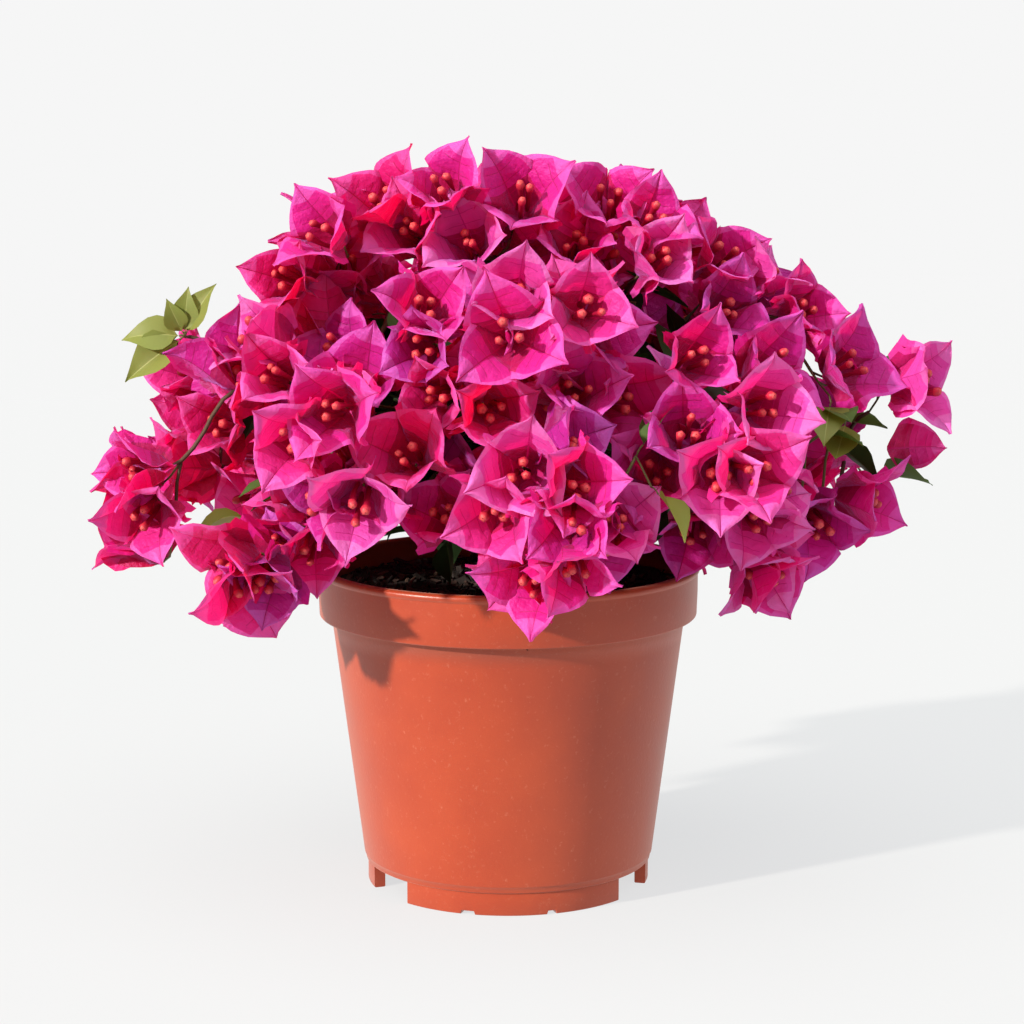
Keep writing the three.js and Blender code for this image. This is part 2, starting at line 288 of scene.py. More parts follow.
print("pot: rim", round(2 * RIM / MM), "mm across,", round(POT_TOP / MM), "mm high")

# %% [markdown]
# Moulded polypropylene has an even colour all through, a satin gloss and a very fine grain from the
# mould's spark-eroded face. A nursery pot is handled, so it is rubbed duller in faint clouds and holds a
# little pale dust. A single noise drives both the clouds of colour and the gloss, because they come from
# the same rubbing, and a finer one places the dust.

# %% Pot finish
CLOUD_SCALE = 20  # clouds about 50 mm across
SPECK_SCALE = 420  # specks of dust about 2 mm apart
GRAIN_SCALE = 650  # moulding grain of about 1.5 mm, coarser than the real 0.2 mm so that it shows
GRAIN_DEEP = 0.6 * MM


def moulded_polypropylene():
    """An even moulded colour with a satin gloss, faint clouds where it is rubbed, and fine dust."""
    material, tree = finish("moulded_polypropylene")
    place = add(tree, "ShaderNodeTexCoord").outputs["Object"]
    patches = {"Vector": place, "Scale": CLOUD_SCALE, "Detail": 7, "Roughness": 0.6}
    clouds = add(tree, "ShaderNodeTexNoise", patches)
    dots = {"Vector": place, "Scale": SPECK_SCALE, "Detail": 3, "Roughness": 0.7}
    specks = add(tree, "ShaderNodeTexNoise", dots)
    # Sockets 6 and 7 of a colour mix are its two colours, and its third output is the mixed one.
    tints = {0: clouds.outputs["Fac"], 6: colour("#8C2A10"), 7: colour("#AC4218")}
    tint = add(tree, "ShaderNodeMix", tints, data_type="RGBA")
    span = {"Value": specks.outputs["Fac"], "From Min": 0.6, "From Max": 0.8, "To Max": 0.2}
    dust = add(tree, "ShaderNodeMapRange", span)
    dusted = {0: dust.outputs[0], 6: tint.outputs[2], 7: colour("#D89A80")}
    shade = add(tree, "ShaderNodeMix", dusted, data_type="RGBA")
    gloss = {"Value": clouds.outputs["Fac"], "To Min": 0.28, "To Max": 0.5}
    rub = add(tree, "ShaderNodeMapRange", gloss)
    grain = add(tree, "ShaderNodeTexNoise", {"Vector": place, "Scale": GRAIN_SCALE, "Detail": 2})
    bumps = {"Height": grain.outputs["Fac"], "Strength": 0.12, "Distance": GRAIN_DEEP}
    relief = add(tree, "ShaderNodeBump", bumps)
    plastic = add(
        tree,
        "ShaderNodeBsdfPrincipled",
        {
            "Base Color": shade.outputs[2],
            "Roughness": rub.outputs[0],
            "Normal": relief.outputs[0],
            "IOR": 1.49,
            "Sheen Weight": 0.35,
            "Sheen Roughness": 0.5,
            "Sheen Tint": colour("#FFC8B4"),
            "Subsurface Weight": 0.06,
            "Subsurface Radius": (0.006, 0.002, 0.001),
        },
    )
    show(tree, plastic)
    return material


PLASTIC = moulded_polypropylene()
print("pot finish:", PLASTIC.name)

# %% [markdown]
# The pot's wall is one closed profile of outside and inside, turned round the middle: base, tapering
# body, the step under the rim band, the band and the rolled lip, and back down inside. The heights and
# radii run on from the sizes above, so the pot can be made wider or taller in one place.

# %% Pot wall
BASE_HOLE = 12 * MM  # radius of the hole in the middle of the base
BASE_THICK = 2.6 * MM
BODY_RISE = FOOT_TOP + 4.6 * MM  # where the tapering body starts
BODY_TALL = BAND_FOOT - 0.8 * MM - BODY_RISE
TAPER = BODY_TOP - BODY_FOOT
body = [(BODY_FOOT + TAPER * t, BODY_RISE + BODY_TALL * t) for t in np.linspace(0.02, 1, 12)]
outside = [
    (BASE_HOLE, FOOT_TOP),
    (FOOT - 0.6 * MM, FOOT_TOP),
    *bend((FOOT + 0.1 * MM, FOOT_TOP + 1.4 * MM), 0.9 * MM, -90, 0, 4),
    *bend((BODY_FOOT - 1.2 * MM, FOOT_TOP + 4.4 * MM), 1.2 * MM, -60, 0, 4),
    *body,
    *bend((BODY_TOP + 1.0 * MM, BAND_FOOT - 0.8 * MM), 0.8 * MM, 180, 90, 3),
    *bend((BAND - 1.6 * MM, BAND_FOOT + 0.9 * MM), 0.9 * MM, -90, 0, 4),
    (BAND - 0.3 * MM, BAND_FOOT + 12 * MM),
    (BAND - 0.3 * MM, POT_TOP - 4.2 * MM),
    *bend((RIM - 2.0 * MM, POT_TOP - 2.0 * MM), 2.0 * MM, -60, 90, 9),
    *bend((RIM - 3.2 * MM, POT_TOP - 1.6 * MM), 1.6 * MM, 90, 180, 4),
]
inside = [
    (BAND - 3.2 * MM, POT_TOP - 4 * MM),
    (BAND - 3.4 * MM, BAND_FOOT + 3 * MM),
    (BODY_TOP - WALL, BAND_FOOT - 1 * MM),
    (BODY_FOOT - WALL, FOOT_TOP + 4 * MM),
    (BODY_FOOT - WALL - 1.6 * MM, FOOT_TOP + BASE_THICK),
    (BASE_HOLE, FOOT_TOP + BASE_THICK),
    (BASE_HOLE, FOOT_TOP),
]
points, faces = turned(outside + inside, 180)
pot = piece("pot_body", points, faces, [PLASTIC])
print("pot wall:", len(faces), "faces")

# %% [markdown]
# Under the base a ring lifts the pot off the ground, cut into three feet so that water can run out. The
# front foot has two small chips in its lower edge, where it was set down hard. Each foot is the ring's
# section swept through its own part of the circle and closed at both ends.

# %% Pot feet
NICK_TALL = 1.7 * MM
feet_points, feet_faces = [], []
foot_section = [
    (FOOT - FOOT_WALL, FOOT_TOP + 0.4 * MM),
    (FOOT - FOOT_WALL, 0.4 * MM),
    (FOOT - FOOT_WALL + 0.4 * MM, 0),
    (FOOT - 0.7 * MM, 0),
    *bend((FOOT - 0.7 * MM, 0.7 * MM), 0.7 * MM, -90, 0, 3),
    (FOOT, FOOT_TOP - 1.2 * MM),
    (FOOT, FOOT_TOP + 0.4 * MM),
    (FOOT - FOOT_WALL, FOOT_TOP + 0.4 * MM),
]
for notch in NOTCHES:
    start, stop = notch + NOTCH / 2, notch + 120 - NOTCH / 2
    ring, quads = turned(foot_section, 188, (start, stop))
    azimuth = (np.degrees(np.arctan2(ring[:, 1], ring[:, 0])) + 180) % 360 - 180
    for middle, half in NICKS.items():
        chipped = (np.abs(azimuth - middle) < half) & (ring[:, 2] < 1.5 * MM)
        ring[chipped, 2] += NICK_TALL
    columns = len(foot_section)
    last = len(ring) - columns
    quads += [tuple(range(columns - 1)), tuple(last + i for i in reversed(range(columns - 1)))]
    offset = sum(len(part) for part in feet_points)
    feet_points.append(ring)
    feet_faces += [tuple(offset + i for i in face) for face in quads]
feet = piece("pot_feet", np.concatenate(feet_points), feet_faces, [PLASTIC])
for made in (pot, feet):
    made.modifiers.new("edges", "EDGE_SPLIT").split_angle = math.radians(40)
print("pot feet:", len(NOTCHES), "in", len(feet.data.polygons), "faces, with", len(NICKS), "nicks")

# %% [markdown]
# Six drain holes pierce the base. A boolean modifier with a drill for each hole is the plain way to cut
# them, and its result is kept as the pot's own mesh, so that no drill stays behind.

# %% Drain holes
DRILL = 5 * MM  # radius of a hole
DRAINS_AWAY = 46 * MM
DRAINS = [(DRAINS_AWAY, math.radians(NOTCHES[0] + 60 * i)) for i in range(6)]

bpy.ops.mesh.primitive_cylinder_add(vertices=28, radius=DRILL, depth=12 * MM)
drill = bpy.context.object
cutters = []
for away, angle in DRAINS:
    cutter = drill.copy()
    cutter.location = (away * math.cos(angle), away * math.sin(angle), FOOT_TOP + 1 * MM)
    bpy.context.scene.collection.objects.link(cutter)
    cutters.append(cutter)
bpy.data.objects.remove(drill)
bpy.context.view_layer.update()
for cutter in cutters:
    cut = pot.modifiers.new("drain", "BOOLEAN")
    cut.object = cutter
    cut.solver = "EXACT"
bpy.context.view_layer.update()
drilled = bpy.data.meshes.new_from_object(pot.evaluated_get(bpy.context.evaluated_depsgraph_get()))
pot.modifiers.clear()
pot.data = drilled
for cutter in cutters:
    bpy.data.objects.remove(cutter)
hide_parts("pot")
print("pot:", len(pot.data.polygons), "faces with its", len(DRAINS), "drain holes")

# %% [markdown]
# Bracts are paper-thin coloured leaves with a silky surface: light falls on them, and it also glows through
# from behind, which is why shaded cups look hot crimson. So each finish mixes a silky surface, whose shine
# and sheen are tinted lilac, with a translucent one. A bract is painted darker in its cup as painted shade,
# pinker on its blade, lilac towards its rim as a painted highlight, and darker along its veins. That could
# be a painted map, but each zone is a plain finish of its own, dealt out by face, and the tints vary from
# bloom to bloom.

# %% Bract finishes
TINTS = {  # painted shade in the cup's depth, on the blade, a painted highlight at its rim, along its veins, and of light that comes through
    "fuchsia": ("#B80650", "#DC1C98", "#E65AC4", "#A80E62", "#F60052"),
    "rose": ("#C60A52", "#E82C98", "#EE66C6", "#B41A6C", "#F80662"),
    "magenta": ("#A8064E", "#CC1C98", "#DC56C4", "#940E60", "#EA005A"),
    "violet": ("#960C5C", "#BC249E", "#D05CC8", "#80166E", "#D20866"),
    "crimson": ("#BC0440", "#DC127A", "#E650AC", "#A00846", "#F6003C"),
    "orchid": ("#BE1668", "#E44CB8", "#EE7CD4", "#B02A80", "#F41078"),
}
THROUGH = 0.46  # share of the light that passes through a bract
SHADED_CUP_THROUGH = 0.3  # and through the cup's depth, less and darker, as painted shade
# the darker colour of the light through the cup's depth is painted shade
SHADED_CUP_GLOW = "#BE0036"
CRINKLE_SCALE = 330  # crinkles of the paper about 3 mm apart
CRINKLE_DEEP = 1.4 * MM  # deeper than the real 0.2 mm, to stand for the net of fine veins too


def papery(name, front, through, share):
    """A silky, crinkled skin that lets a share of the light through in a colour of its own."""
    material, tree = finish(name)
    place = add(tree, "ShaderNodeTexCoord").outputs["Object"]
    creases = {"Vector": place, "Scale": CRINKLE_SCALE, "Detail": 4, "Roughness": 0.6}
    crinkle = add(tree, "ShaderNodeTexNoise", creases)
    bumps = {"Height": crinkle.outputs["Fac"], "Strength": 0.7, "Distance": CRINKLE_DEEP}
    relief = add(tree, "ShaderNodeBump", bumps)
    skin = add(
        tree,
        "ShaderNodeBsdfPrincipled",
        {
            "Base Color": colour(front),
            "Roughness": 0.5,
            "IOR": 1.45,
            "Specular IOR Level": 1.0,
            "Specular Tint": colour("#CCA8FF"),
            "Sheen Weight": 0.7,
            "Sheen Roughness": 0.4,
            "Sheen Tint": colour("#D094FF"),
            "Normal": relief.outputs[0],
        },
    )
    glow = add(tree, "ShaderNodeBsdfTranslucent", {"Color": colour(through)})
    show(tree, add(tree, "ShaderNodeMixShader", {0: share, 1: skin.outputs[0], 2: glow.outputs[0]}))
    return material


BRACT = {}
for name, (depth, blade, rim, vein, through) in TINTS.items():
    # The cup's finish is darker, as painted shade, and the rim's finish is lighter, as a painted highlight.
    BRACT[name] = [papery(f"bract_shaded_cup_{name}", depth, SHADED_CUP_GLOW, SHADED_CUP_THROUGH)]
    for zone_name, shade in (("blade", blade), ("rim", rim), ("vein", vein)):
        BRACT[name].append(papery(f"bract_{zone_name}_{name}", shade, through, THROUGH))
print("bract tints:", ", ".join(BRACT))

# %% [markdown]
# The flowers inside the bracts are waxy: a crimson tube, and a bud on it that pales to coral at its tip.
# Wax is a clear, fairly smooth skin, so a plain principled surface of one colour with a soft gloss is
# enough for each band of the flower.

# %% Flower finishes
def waxy(name, shade, roughness):
    """A plain waxy skin."""
    material, tree = finish(name)
    sockets = {"Base Color": colour(shade), "Roughness": roughness, "IOR": 1.45}
    show(tree, add(tree, "ShaderNodeBsdfPrincipled", sockets))
    return material


FLOWER = [
    waxy("flower_tube", "#900A30", 0.42),
    waxy("flower_bud", "#AE2438", 0.5),
    waxy("flower_bud_tip", "#C84648", 0.6),
]
print("flower finishes:", ", ".join(material.name for material in FLOWER))

# %% [markdown]
# A bougainvillea bract is a coloured leaf, thin and papery: nearly as wide as it is long, round at its
# foot, drawn out to a short point, with a sunk midrib and four pairs of side veins that sweep forwards.
# It could be a subdivided plane, but hundreds are needed, so all of them are worked out at once as one
# array: a grid of rows and columns whose rows follow the veins. Narrow strips of the grid are the veins,
# and the zones of colour between them follow the same rows: painted shade in the cup's depth and a painted
# highlight towards the rim.

# %% Bract grid
EDGE_AT = [0, 0.1, 0.25, 0.45, 0.62, 0.77, 0.87, 0.94, 1]  # shares of the length from foot to tip
EDGE_WIDE = [0.66, 0.95, 1, 0.96, 0.8, 0.51, 0.24, 0.08, 0.012]  # shares of the greatest half width
SIDE_VEINS = [0.1, 0.27, 0.45, 0.62]
BETWEEN = [0.18, 0.36, 0.54, 0.72]
VEIN_WIDE = 0.012  # of the length
SWEEP = ([0, 0.05, 0.1, 1], [-0.05, 0.06, 0.2, 0])  # how far the margin runs ahead of the midrib
MISMATCH = 0.03  # how far a vein on one side starts ahead of its fellow on the other
ACROSS = np.array([0, 0.1, 0.32, 0.58, 0.82, 1])  # columns from the midrib to one margin

rows = [(0, 0, 0.3), (0.05, 0, 0.4)]  # place of a row, whether it is a vein's far side, and its puff
rows += [(at, far, 0) for at in SIDE_VEINS for far in (0, 1)]
rows += [(at, 0, 1) for at in BETWEEN]
rows += [(0.8, 0, 0.7), (0.87, 0, 0.5), (0.93, 0, 0.3), (1, 0, 0)]
rows.sort()
ROW_AT, ROW_FAR, ROW_PUFF = (np.array(part, dtype=float) for part in zip(*rows))
sides = np.concatenate([-ACROSS[::-1], ACROSS])
reach = np.abs(sides)
RUN = ROW_AT[:, None] + np.interp(ROW_AT, *SWEEP)[:, None] * reach**1.2
RUN = RUN + ROW_FAR[:, None] * VEIN_WIDE * (1 - 0.6 * reach)
RUN[1:-3, sides > 0] += MISMATCH * np.clip(reach[sides > 0], 0, 0.5)
WIDE = np.interp(RUN, EDGE_AT, EDGE_WIDE)
MIDRIB = 0.5 * MM * (1 - 0.8 * ROW_AT)  # half the midrib's width along the bract
PUFF = ROW_PUFF[:, None] * np.sin(np.pi * np.clip(reach, 0, 1)) ** 0.7
FINE = np.linspace(-0.06, 1.06, 57)  # steps along a midrib where its bend is added up

N_ROWS, N_COLUMNS = RUN.shape


def grid_faces(rows, columns):
    """The faces of a flat grid of points."""
    faces = []
    for i in range(rows - 1):
        for j in range(columns - 1):
            here = i * columns + j
            faces.append((here, here + 1, here + columns + 1, here + columns))
    return np.array(faces)


GRID_FACES = grid_faces(N_ROWS, N_COLUMNS)
LEFT_EDGE = len(ACROSS) - 1  # the column on the left of the midrib
SHADED_CUP, BLADE, LIT_RIM, VEIN = range(4)  # finishes of a bract, in the order of their list: painted shade in the cup, the blade, a painted highlight at the rim, and the veins
LIT_RIM_FROM = 0.68  # all of the blade beyond this share of its length takes the rim's lighter colour, a painted highlight
LIT_EDGE_FROM = 0.3  # and from here on its margins do
SHADED_CUP_TO = 0.33  # the cup's darker colour, painted shade, ends here


def zone(i, j):
    """The finish of the face between rows i and i + 1 and columns j and j + 1."""
    if j == LEFT_EDGE or (ROW_FAR[i + 1] == 1 and 0 < abs(j - LEFT_EDGE) < 4):
        return VEIN
    run, outermost = (ROW_AT[i] + ROW_AT[i + 1]) / 2, j in (0, N_COLUMNS - 2)
    if run > LIT_RIM_FROM or (outermost and run > LIT_EDGE_FROM):
        return LIT_RIM
    return SHADED_CUP if run < SHADED_CUP_TO and not outermost else BLADE


GRID_PICKS = np.array([zone(i, j) for i in range(N_ROWS - 1) for j in range(N_COLUMNS - 1)])
print("bract grid:", N_ROWS, "rows by", N_COLUMNS, "columns,", len(GRID_FACES), "faces")

# %% [markdown]
# A real bract rises from its foot, leans out, and flares at its tip. Its blade curls round to a third of
# a cup, its margin rolls back and ripples, and the soft paper between the veins puffs and buckles. A
# cloth simulation could give the ripples, but not the same on every run and not for hundreds at once.
# So the midrib's bend is added up in small steps, and every other effect is a shift of the grid's points.

# %% Bract shape
FOOT_LAG = 0.17  # share of the length over which a bract turns from its foot's angle to its lean
FLARE_POWER = 2.3  # the higher, the nearer to the tip the flare begins
TUBE_ROOM = 0.8 * MM  # between a bract's foot and the bloom's middle
PUFF_HIGH = 0.9 * MM
RIB_DEEP = 0.6 * MM
BUCKLE_HIGH = 0.8 * MM
FREE_THIRD = math.radians(38)  # a bract is left alone this far to either side of its own middle


def along_grid(fine):
    """Values of one row of fine steps per bract, read at every point of the grid."""
    place = (RUN - FINE[0]) / (FINE[1] - FINE[0])
    low = np.clip(place.astype(int), 0, len(FINE) - 2)
    share = place - low
    return fine[:, low] * (1 - share) + fine[:, low + 1] * share


def bract_points(spot):
    """Points of every bract from its row of fields, as an array (bract, row, column, 3)."""
    length, width = spot["length"][:, None, None], spot["width"][:, None, None]
    start, lean, flare = (spot[k][:, None] for k in ("base", "lean", "flare"))
    run = np.clip(FINE, 0, None)[None]
    angle = lean + (start - lean) * np.exp(-run / FOOT_LAG) + (flare - lean) * run**FLARE_POWER
    step = FINE[1] - FINE[0]
    origin = np.argmin(np.abs(FINE))
    out = np.cumsum(np.sin(angle), 1) * step
    up = np.cumsum(np.cos(angle), 1) * step
    out = along_grid((out - out[:, origin : origin + 1]) * spot["length"][:, None]) + TUBE_ROOM
    up = along_grid((up - up[:, origin : origin + 1]) * spot["length"][:, None])
    angle = along_grid(angle)

    # Across the bract the blade curls up to a cup, and its margin rolls back out.
    curl = np.maximum(1.1 * np.abs(out), 7 * MM) * spot["slack"][:, None, None]
    bend_back = 4 * spot["roll"][:, None, None] ** 3
    turn = width * WIDE / curl * (reach - reach**4 / bend_back)
    arc = np.maximum(width * WIDE * reach, MIDRIB[:, None])
    aside, inward = np.zeros_like(turn), np.zeros_like(turn)
    for side in (-1, 1):
        order = range(LEFT_EDGE, -1, -1) if side < 0 else range(LEFT_EDGE + 1, N_COLUMNS)
        before = None
        for j in order:
            if before is None:
                aside[:, :, j] = arc[:, :, j]
            else:
                mean = (turn[:, :, j] + turn[:, :, before]) / 2
                far = arc[:, :, j] - arc[:, :, before]
                aside[:, :, j] = aside[:, :, before] + np.cos(mean) * far
                inward[:, :, j] = inward[:, :, before] + np.sin(mean) * far
            before = j
    wave = np.where(sides > 0, spot["phase"][:, None, None], spot["phase"][:, None, None] * 1.7 + 1)
    ripple = np.sin(2 * np.pi * spot["waves"][:, None, None] * RUN + wave)
    inward = inward + spot["ruffle"][:, None, None] * reach**2.2 * ripple * (1 - 0.6 * RUN)
    buckle = np.sin(2 * np.pi * (1.5 * RUN + 0.6 * sides) + 3 * wave) * np.sin(np.pi * reach)
    inward = inward + PUFF_HIGH * PUFF - RIB_DEEP * (reach == 0) + BUCKLE_HIGH * buckle
    aside = aside * np.where(np.arange(N_COLUMNS) > LEFT_EDGE, 1, -1)
    twist = spot["twist"][:, None, None] * np.clip(RUN, 0, 1) ** 1.5
    level = aside * np.cos(twist) - inward * np.sin(twist)
    inward = aside * np.sin(twist) + inward * np.cos(twist)
    aside = level

    # Three bracts share one cup, so each keeps to its own third, and margins that meet stand out as a fin.
    radial = out - np.cos(angle) * inward
    high = up + np.sin(angle) * inward
    away = np.hypot(radial, aside)
    turned_by = np.arctan2(aside, radial)
    spare = spot["third"][:, None, None] - FREE_THIRD
    over = np.clip(np.abs(turned_by) - FREE_THIRD, 0, None)
    held = FREE_THIRD + spare * np.tanh(over / spare)
    held = held - 0.3 * np.clip(over - 0.7, 0, 0.9) * np.clip(RUN / 0.3, 0, 1)
    kept = np.where(over > 0, held, np.abs(turned_by)) * np.sign(turned_by)
    away = away + 0.8 * away * np.clip(np.abs(turned_by) - np.abs(kept), 0, 1.2)
    radial, aside = away * np.cos(kept), away * np.sin(kept)

    return put_at(spot, radial, aside, high)


def put_at(spot, radial, aside, high):
    """Points at distances along each bloom's facing, its side and its axis, from its foot."""
    side_axis = np.cross(spot["axis"], spot["facing"])
    put = spot["foot"][:, None, None] + radial[..., None] * spot["facing"][:, None, None]
    return put + aside[..., None] * side_axis[:, None, None] + high[..., None] * spot["axis"][:, None, None]


print("bract shape: puffed", round(PUFF_HIGH / MM, 1), "mm between veins")

# %% [markdown]
# Every bract of a bloom carries one flower on its midrib: a waxy crimson tube, waisted above its foot
# and swollen towards a closed coral bud with five faint lobes. Revolved profiles would do, but all the
# tubes are again worked out as one array of rings.

# %% Flower shape
TUBE_AT = np.array([0, 0.12, 0.4, 0.62, 0.78, 0.86, 0.93, 0.98, 1])  # shares of the flower's length
TUBE_WIDE = np.array([0.9, 1.4, 1.15, 1.4, 1.8, 2.15, 2.15, 1.4, 0.2]) * MM
TUBE_SIDES = 10
CORAL_FROM = 5  # the ring where the crimson tube ends and the coral bud starts
TUBE_OUT = 3.0 * MM  # how far from the bloom's middle a tube stands, and how high its foot is
TUBE_UP = 1.5 * MM
TUBE_BOW = 1.2 * MM
LOBES_DEEP = 0.08  # of the bud's radius


def flower_points(spot):
    """Points of every flower, as an array (flower, ring, side, 3)."""
    round_angle = np.arange(TUBE_SIDES) * 2 * math.pi / TUBE_SIDES
    lean, length = spot["tube_lean"][:, None], spot["tube_length"][:, None]
    along = TUBE_AT[None] * length
    bow = TUBE_BOW * np.sin(np.pi * TUBE_AT[None]) * spot["tube_bow"][:, None]
    out = TUBE_OUT + np.sin(lean) * along + bow
    up = TUBE_UP + np.cos(lean) * along
    lobes = 1 + LOBES_DEEP * np.cos(5 * round_angle)[None, :] * (TUBE_AT > 0.8)[:, None]
    ring_out = TUBE_WIDE[:, None] * lobes * np.cos(round_angle)[None]
    ring_side = TUBE_WIDE[:, None] * lobes * np.sin(round_angle)[None]
    grow = spot["tube_size"][:, None, None]
    radial = out[:, :, None] + grow * ring_out[None] * np.cos(lean)[:, :, None]
    high = up[:, :, None] - grow * ring_out[None] * np.sin(lean)[:, :, None]
    aside = grow * ring_side[None] + spot["tube_aside"][:, None, None] * TUBE_AT[None, :, None]
    return put_at(spot, radial, aside, high)


def ring_faces(rings, sides):
    """The faces between rings of points, each ring closed on itself."""
    faces = []
    for i in range(rings - 1):
        for j in range(sides):
            here, beside = i * sides + j, i * sides + (j + 1) % sides
            faces.append((here, beside, beside + sides, here + sides))
    return faces


FLOWER_FACES = np.array(ring_faces(len(TUBE_AT), TUBE_SIDES))
bands = np.arange(len(TUBE_AT) - 1)
FLOWER_PICKS = np.repeat((bands >= CORAL_FROM).astype(int) + (bands == bands[-1]), TUBE_SIDES)
print("flower:", len(FLOWER_FACES), "faces")

# %% [markdown]
# A bloom is described by its foot, the way it faces, how open it is and its size. From that every
# bract gets its own length, lean, curl and ruffle, drawn from the seeded generator, so that no two
# blooms are alike and the plant still comes out the same at every run.

# %% Blooms
def across(axis, turn):
    """Unit directions square to each axis, turned round it by an angle in radians."""
    start = np.cross(axis, np.where(np.abs(axis[:, 2:]) < 0.9, [[0, 0, 1]], [[1, 0, 0]]))
    start /= np.linalg.norm(start, axis=1, keepdims=True)
    return start * np.cos(turn)[:, None] + np.cross(axis, start) * np.sin(turn)[:, None]


def bloom_spots(foot, axis, openness, size, turn, count=3):
    """The fields of every bract and flower of the blooms, one row for each.

    Base, lean and flare are a bract's angles from the bloom's axis at its foot, in its middle and at its
    tip. Slack loosens its curl, roll is where its margin turns back, and phase, waves and ruffle shape
    its ripples. Third is half the angle that it may take of the cup.
    """
    number = len(foot) * count
    each = {"foot": np.repeat(foot, count, 0), "axis": np.repeat(axis, count, 0)}
    wide_open = np.clip(np.repeat(openness, count) + rng.normal(0, 0.09, number), 0, 1.15)
    third = np.tile(np.arange(count) * 2 * math.pi / 3, len(foot))
    each["facing"] = across(each["axis"], np.repeat(turn, count) + third + rng.normal(0, 0.09, number))
    each["length"] = np.repeat(size, count) * rng.uniform(0.93, 1.06, number)
    each["width"] = each["length"] * rng.uniform(0.46, 0.54, number)
    each["base"] = np.radians(rng.uniform(68, 84, number))
    each["lean"] = np.radians(9 + 30 * wide_open + rng.normal(0, 3, number))
    each["flare"] = np.radians(60 + 36 * wide_open + rng.normal(0, 11, number))
    each["slack"] = rng.uniform(0.8, 1.15, number) + 0.4 * wide_open
    each["roll"] = rng.uniform(0.56, 0.72, number)
    each["phase"] = rng.uniform(0, 2 * math.pi, number)
    each["waves"] = rng.uniform(1.1, 2.3, number)
    each["ruffle"] = rng.uniform(1.0, 2.6, number) * MM
    each["twist"] = rng.normal(0, 0.16, number)
    each["third"] = np.radians(rng.uniform(65, 71, number))
    each["tube_lean"] = np.radians(2 + 9 * wide_open + rng.normal(0, 3, number))
    each["tube_length"] = np.repeat(size, count) * rng.uniform(0.42, 0.64, number)
    each["tube_bow"] = rng.normal(0.3, 0.5, number)
    each["tube_size"] = rng.uniform(0.85, 1.12, number)
    each["tube_aside"] = rng.normal(0, 1.2, number) * MM
    return each


def joined(grids, faces, picks):
    """Points, faces and picks of many copies of one grid, joined."""
    copies, per = len(grids), int(np.prod(grids.shape[1:-1]))
    starts = (np.arange(copies) * per)[:, None, None]
    return grids.reshape(-1, 3), (faces[None] + starts).reshape(-1, faces.shape[1]), np.tile(picks, copies)


def atlas(copies, rows, columns):
    """A place on one map for every point of many grids: each copy has a cell of its own."""
    cells = math.ceil(math.sqrt(copies))
    across_cell, up_cell = np.meshgrid(np.linspace(0.04, 0.96, columns), np.linspace(0.04, 0.96, rows))
    corner = np.stack([np.arange(copies) % cells, np.arange(copies) // cells], 1)
    cell = np.stack([across_cell.ravel(), up_cell.ravel()], 1)
    return ((corner[:, None] + cell[None]) / cells).reshape(-1, 2)


print("a map for 200 bracts has cells of", round(1 / math.ceil(math.sqrt(200)), 3), "of its side")

# %% [markdown]
# The stem forks a little above the compost into nine boughs and a leader, and three long twigs reach
# out of the crown. The frame holds them as plain solids. Here each solid gives back its centre line,
# by finding the gaps between its rings of points, and everything else grows on from those lines.

# %% Centre lines
HEART = Vector((0, 0, 0.196))  # the open middle of the crown
FORK = Vector((-0.002, 0.001, 0.193))


def corner_points(node):
    """The different corners of a solid, as an array."""
    corners = np.array([v.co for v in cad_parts[node].data.vertices])
    return np.unique(np.round(corners, 6), axis=0)


def centre_line(node, near, rings=6):
    """The middles and radii of a limb's rings, from its end nearest to a point outwards."""
    corners = corner_points(node)
    main = np.linalg.svd(corners - corners.mean(0), full_matrices=False)[2][0]
    if (corners.mean(0) - np.array(near)) @ main < 0:
        main = -main
    along = corners @ main
    order = np.argsort(along)
    cuts = np.sort(np.argsort(np.diff(along[order]))[-(rings - 1) :] + 1)
    groups = [corners[part] for part in np.split(order, cuts)]
    middles = np.array([group.mean(0) for group in groups])
    widths = [np.linalg.norm(group - middle, axis=1).max() for group, middle in zip(groups, middles)]
    return middles, np.array(widths)


LIMBS = [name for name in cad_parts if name.startswith(("bough_", "leader"))]
LONG_TWIGS = [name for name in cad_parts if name.startswith("twig_")]
MASSES = [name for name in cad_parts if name.startswith("mass_")]
lines = {name: centre_line(name, FORK) for name in LIMBS + LONG_TWIGS}
lines["stem"] = centre_line("stem", (0, 0, 0))
for name, (middles, widths) in lines.items():
    print(f"{name}: {len(middles)} rings, {widths[0] / MM:.1f} to {widths[-1] / MM:.1f} mm radius")

# %% [markdown]
# The masses of the frame say where blossom is. Each becomes a search tree that can answer whether a
# point lies inside it. Blooms are then thrown at the masses' surfaces like darts: a place is kept if
# it is on the outside of the whole crown, looks outwards, and isn't too close to a bloom already there.

# %% Masses
def tree_of(node):
    """The search tree of a solid's faces."""
    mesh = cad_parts[node].data
    return BVHTree.FromPolygons([v.co for v in mesh.vertices], [tuple(p.vertices) for p in mesh.polygons])


trees = {name: tree_of(name) for name in MASSES}
boxes = {name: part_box(name) for name in MASSES}
middles_of = {name: (low + high) / 2 for name, (low, high) in boxes.items()}


def buried(point, skip=None, margin=0.0):
    """Whether a point lies inside some mass, deeper than a margin below its surface."""
    for name, (low, high) in boxes.items():
        if name == skip or any(point[i] < low[i] or point[i] > high[i] for i in range(3)):
            continue
        near, normal, _, away = trees[name].find_nearest(point)
        if (Vector(point) - near).dot(normal) < 0 and away > margin:
            return True
    return False


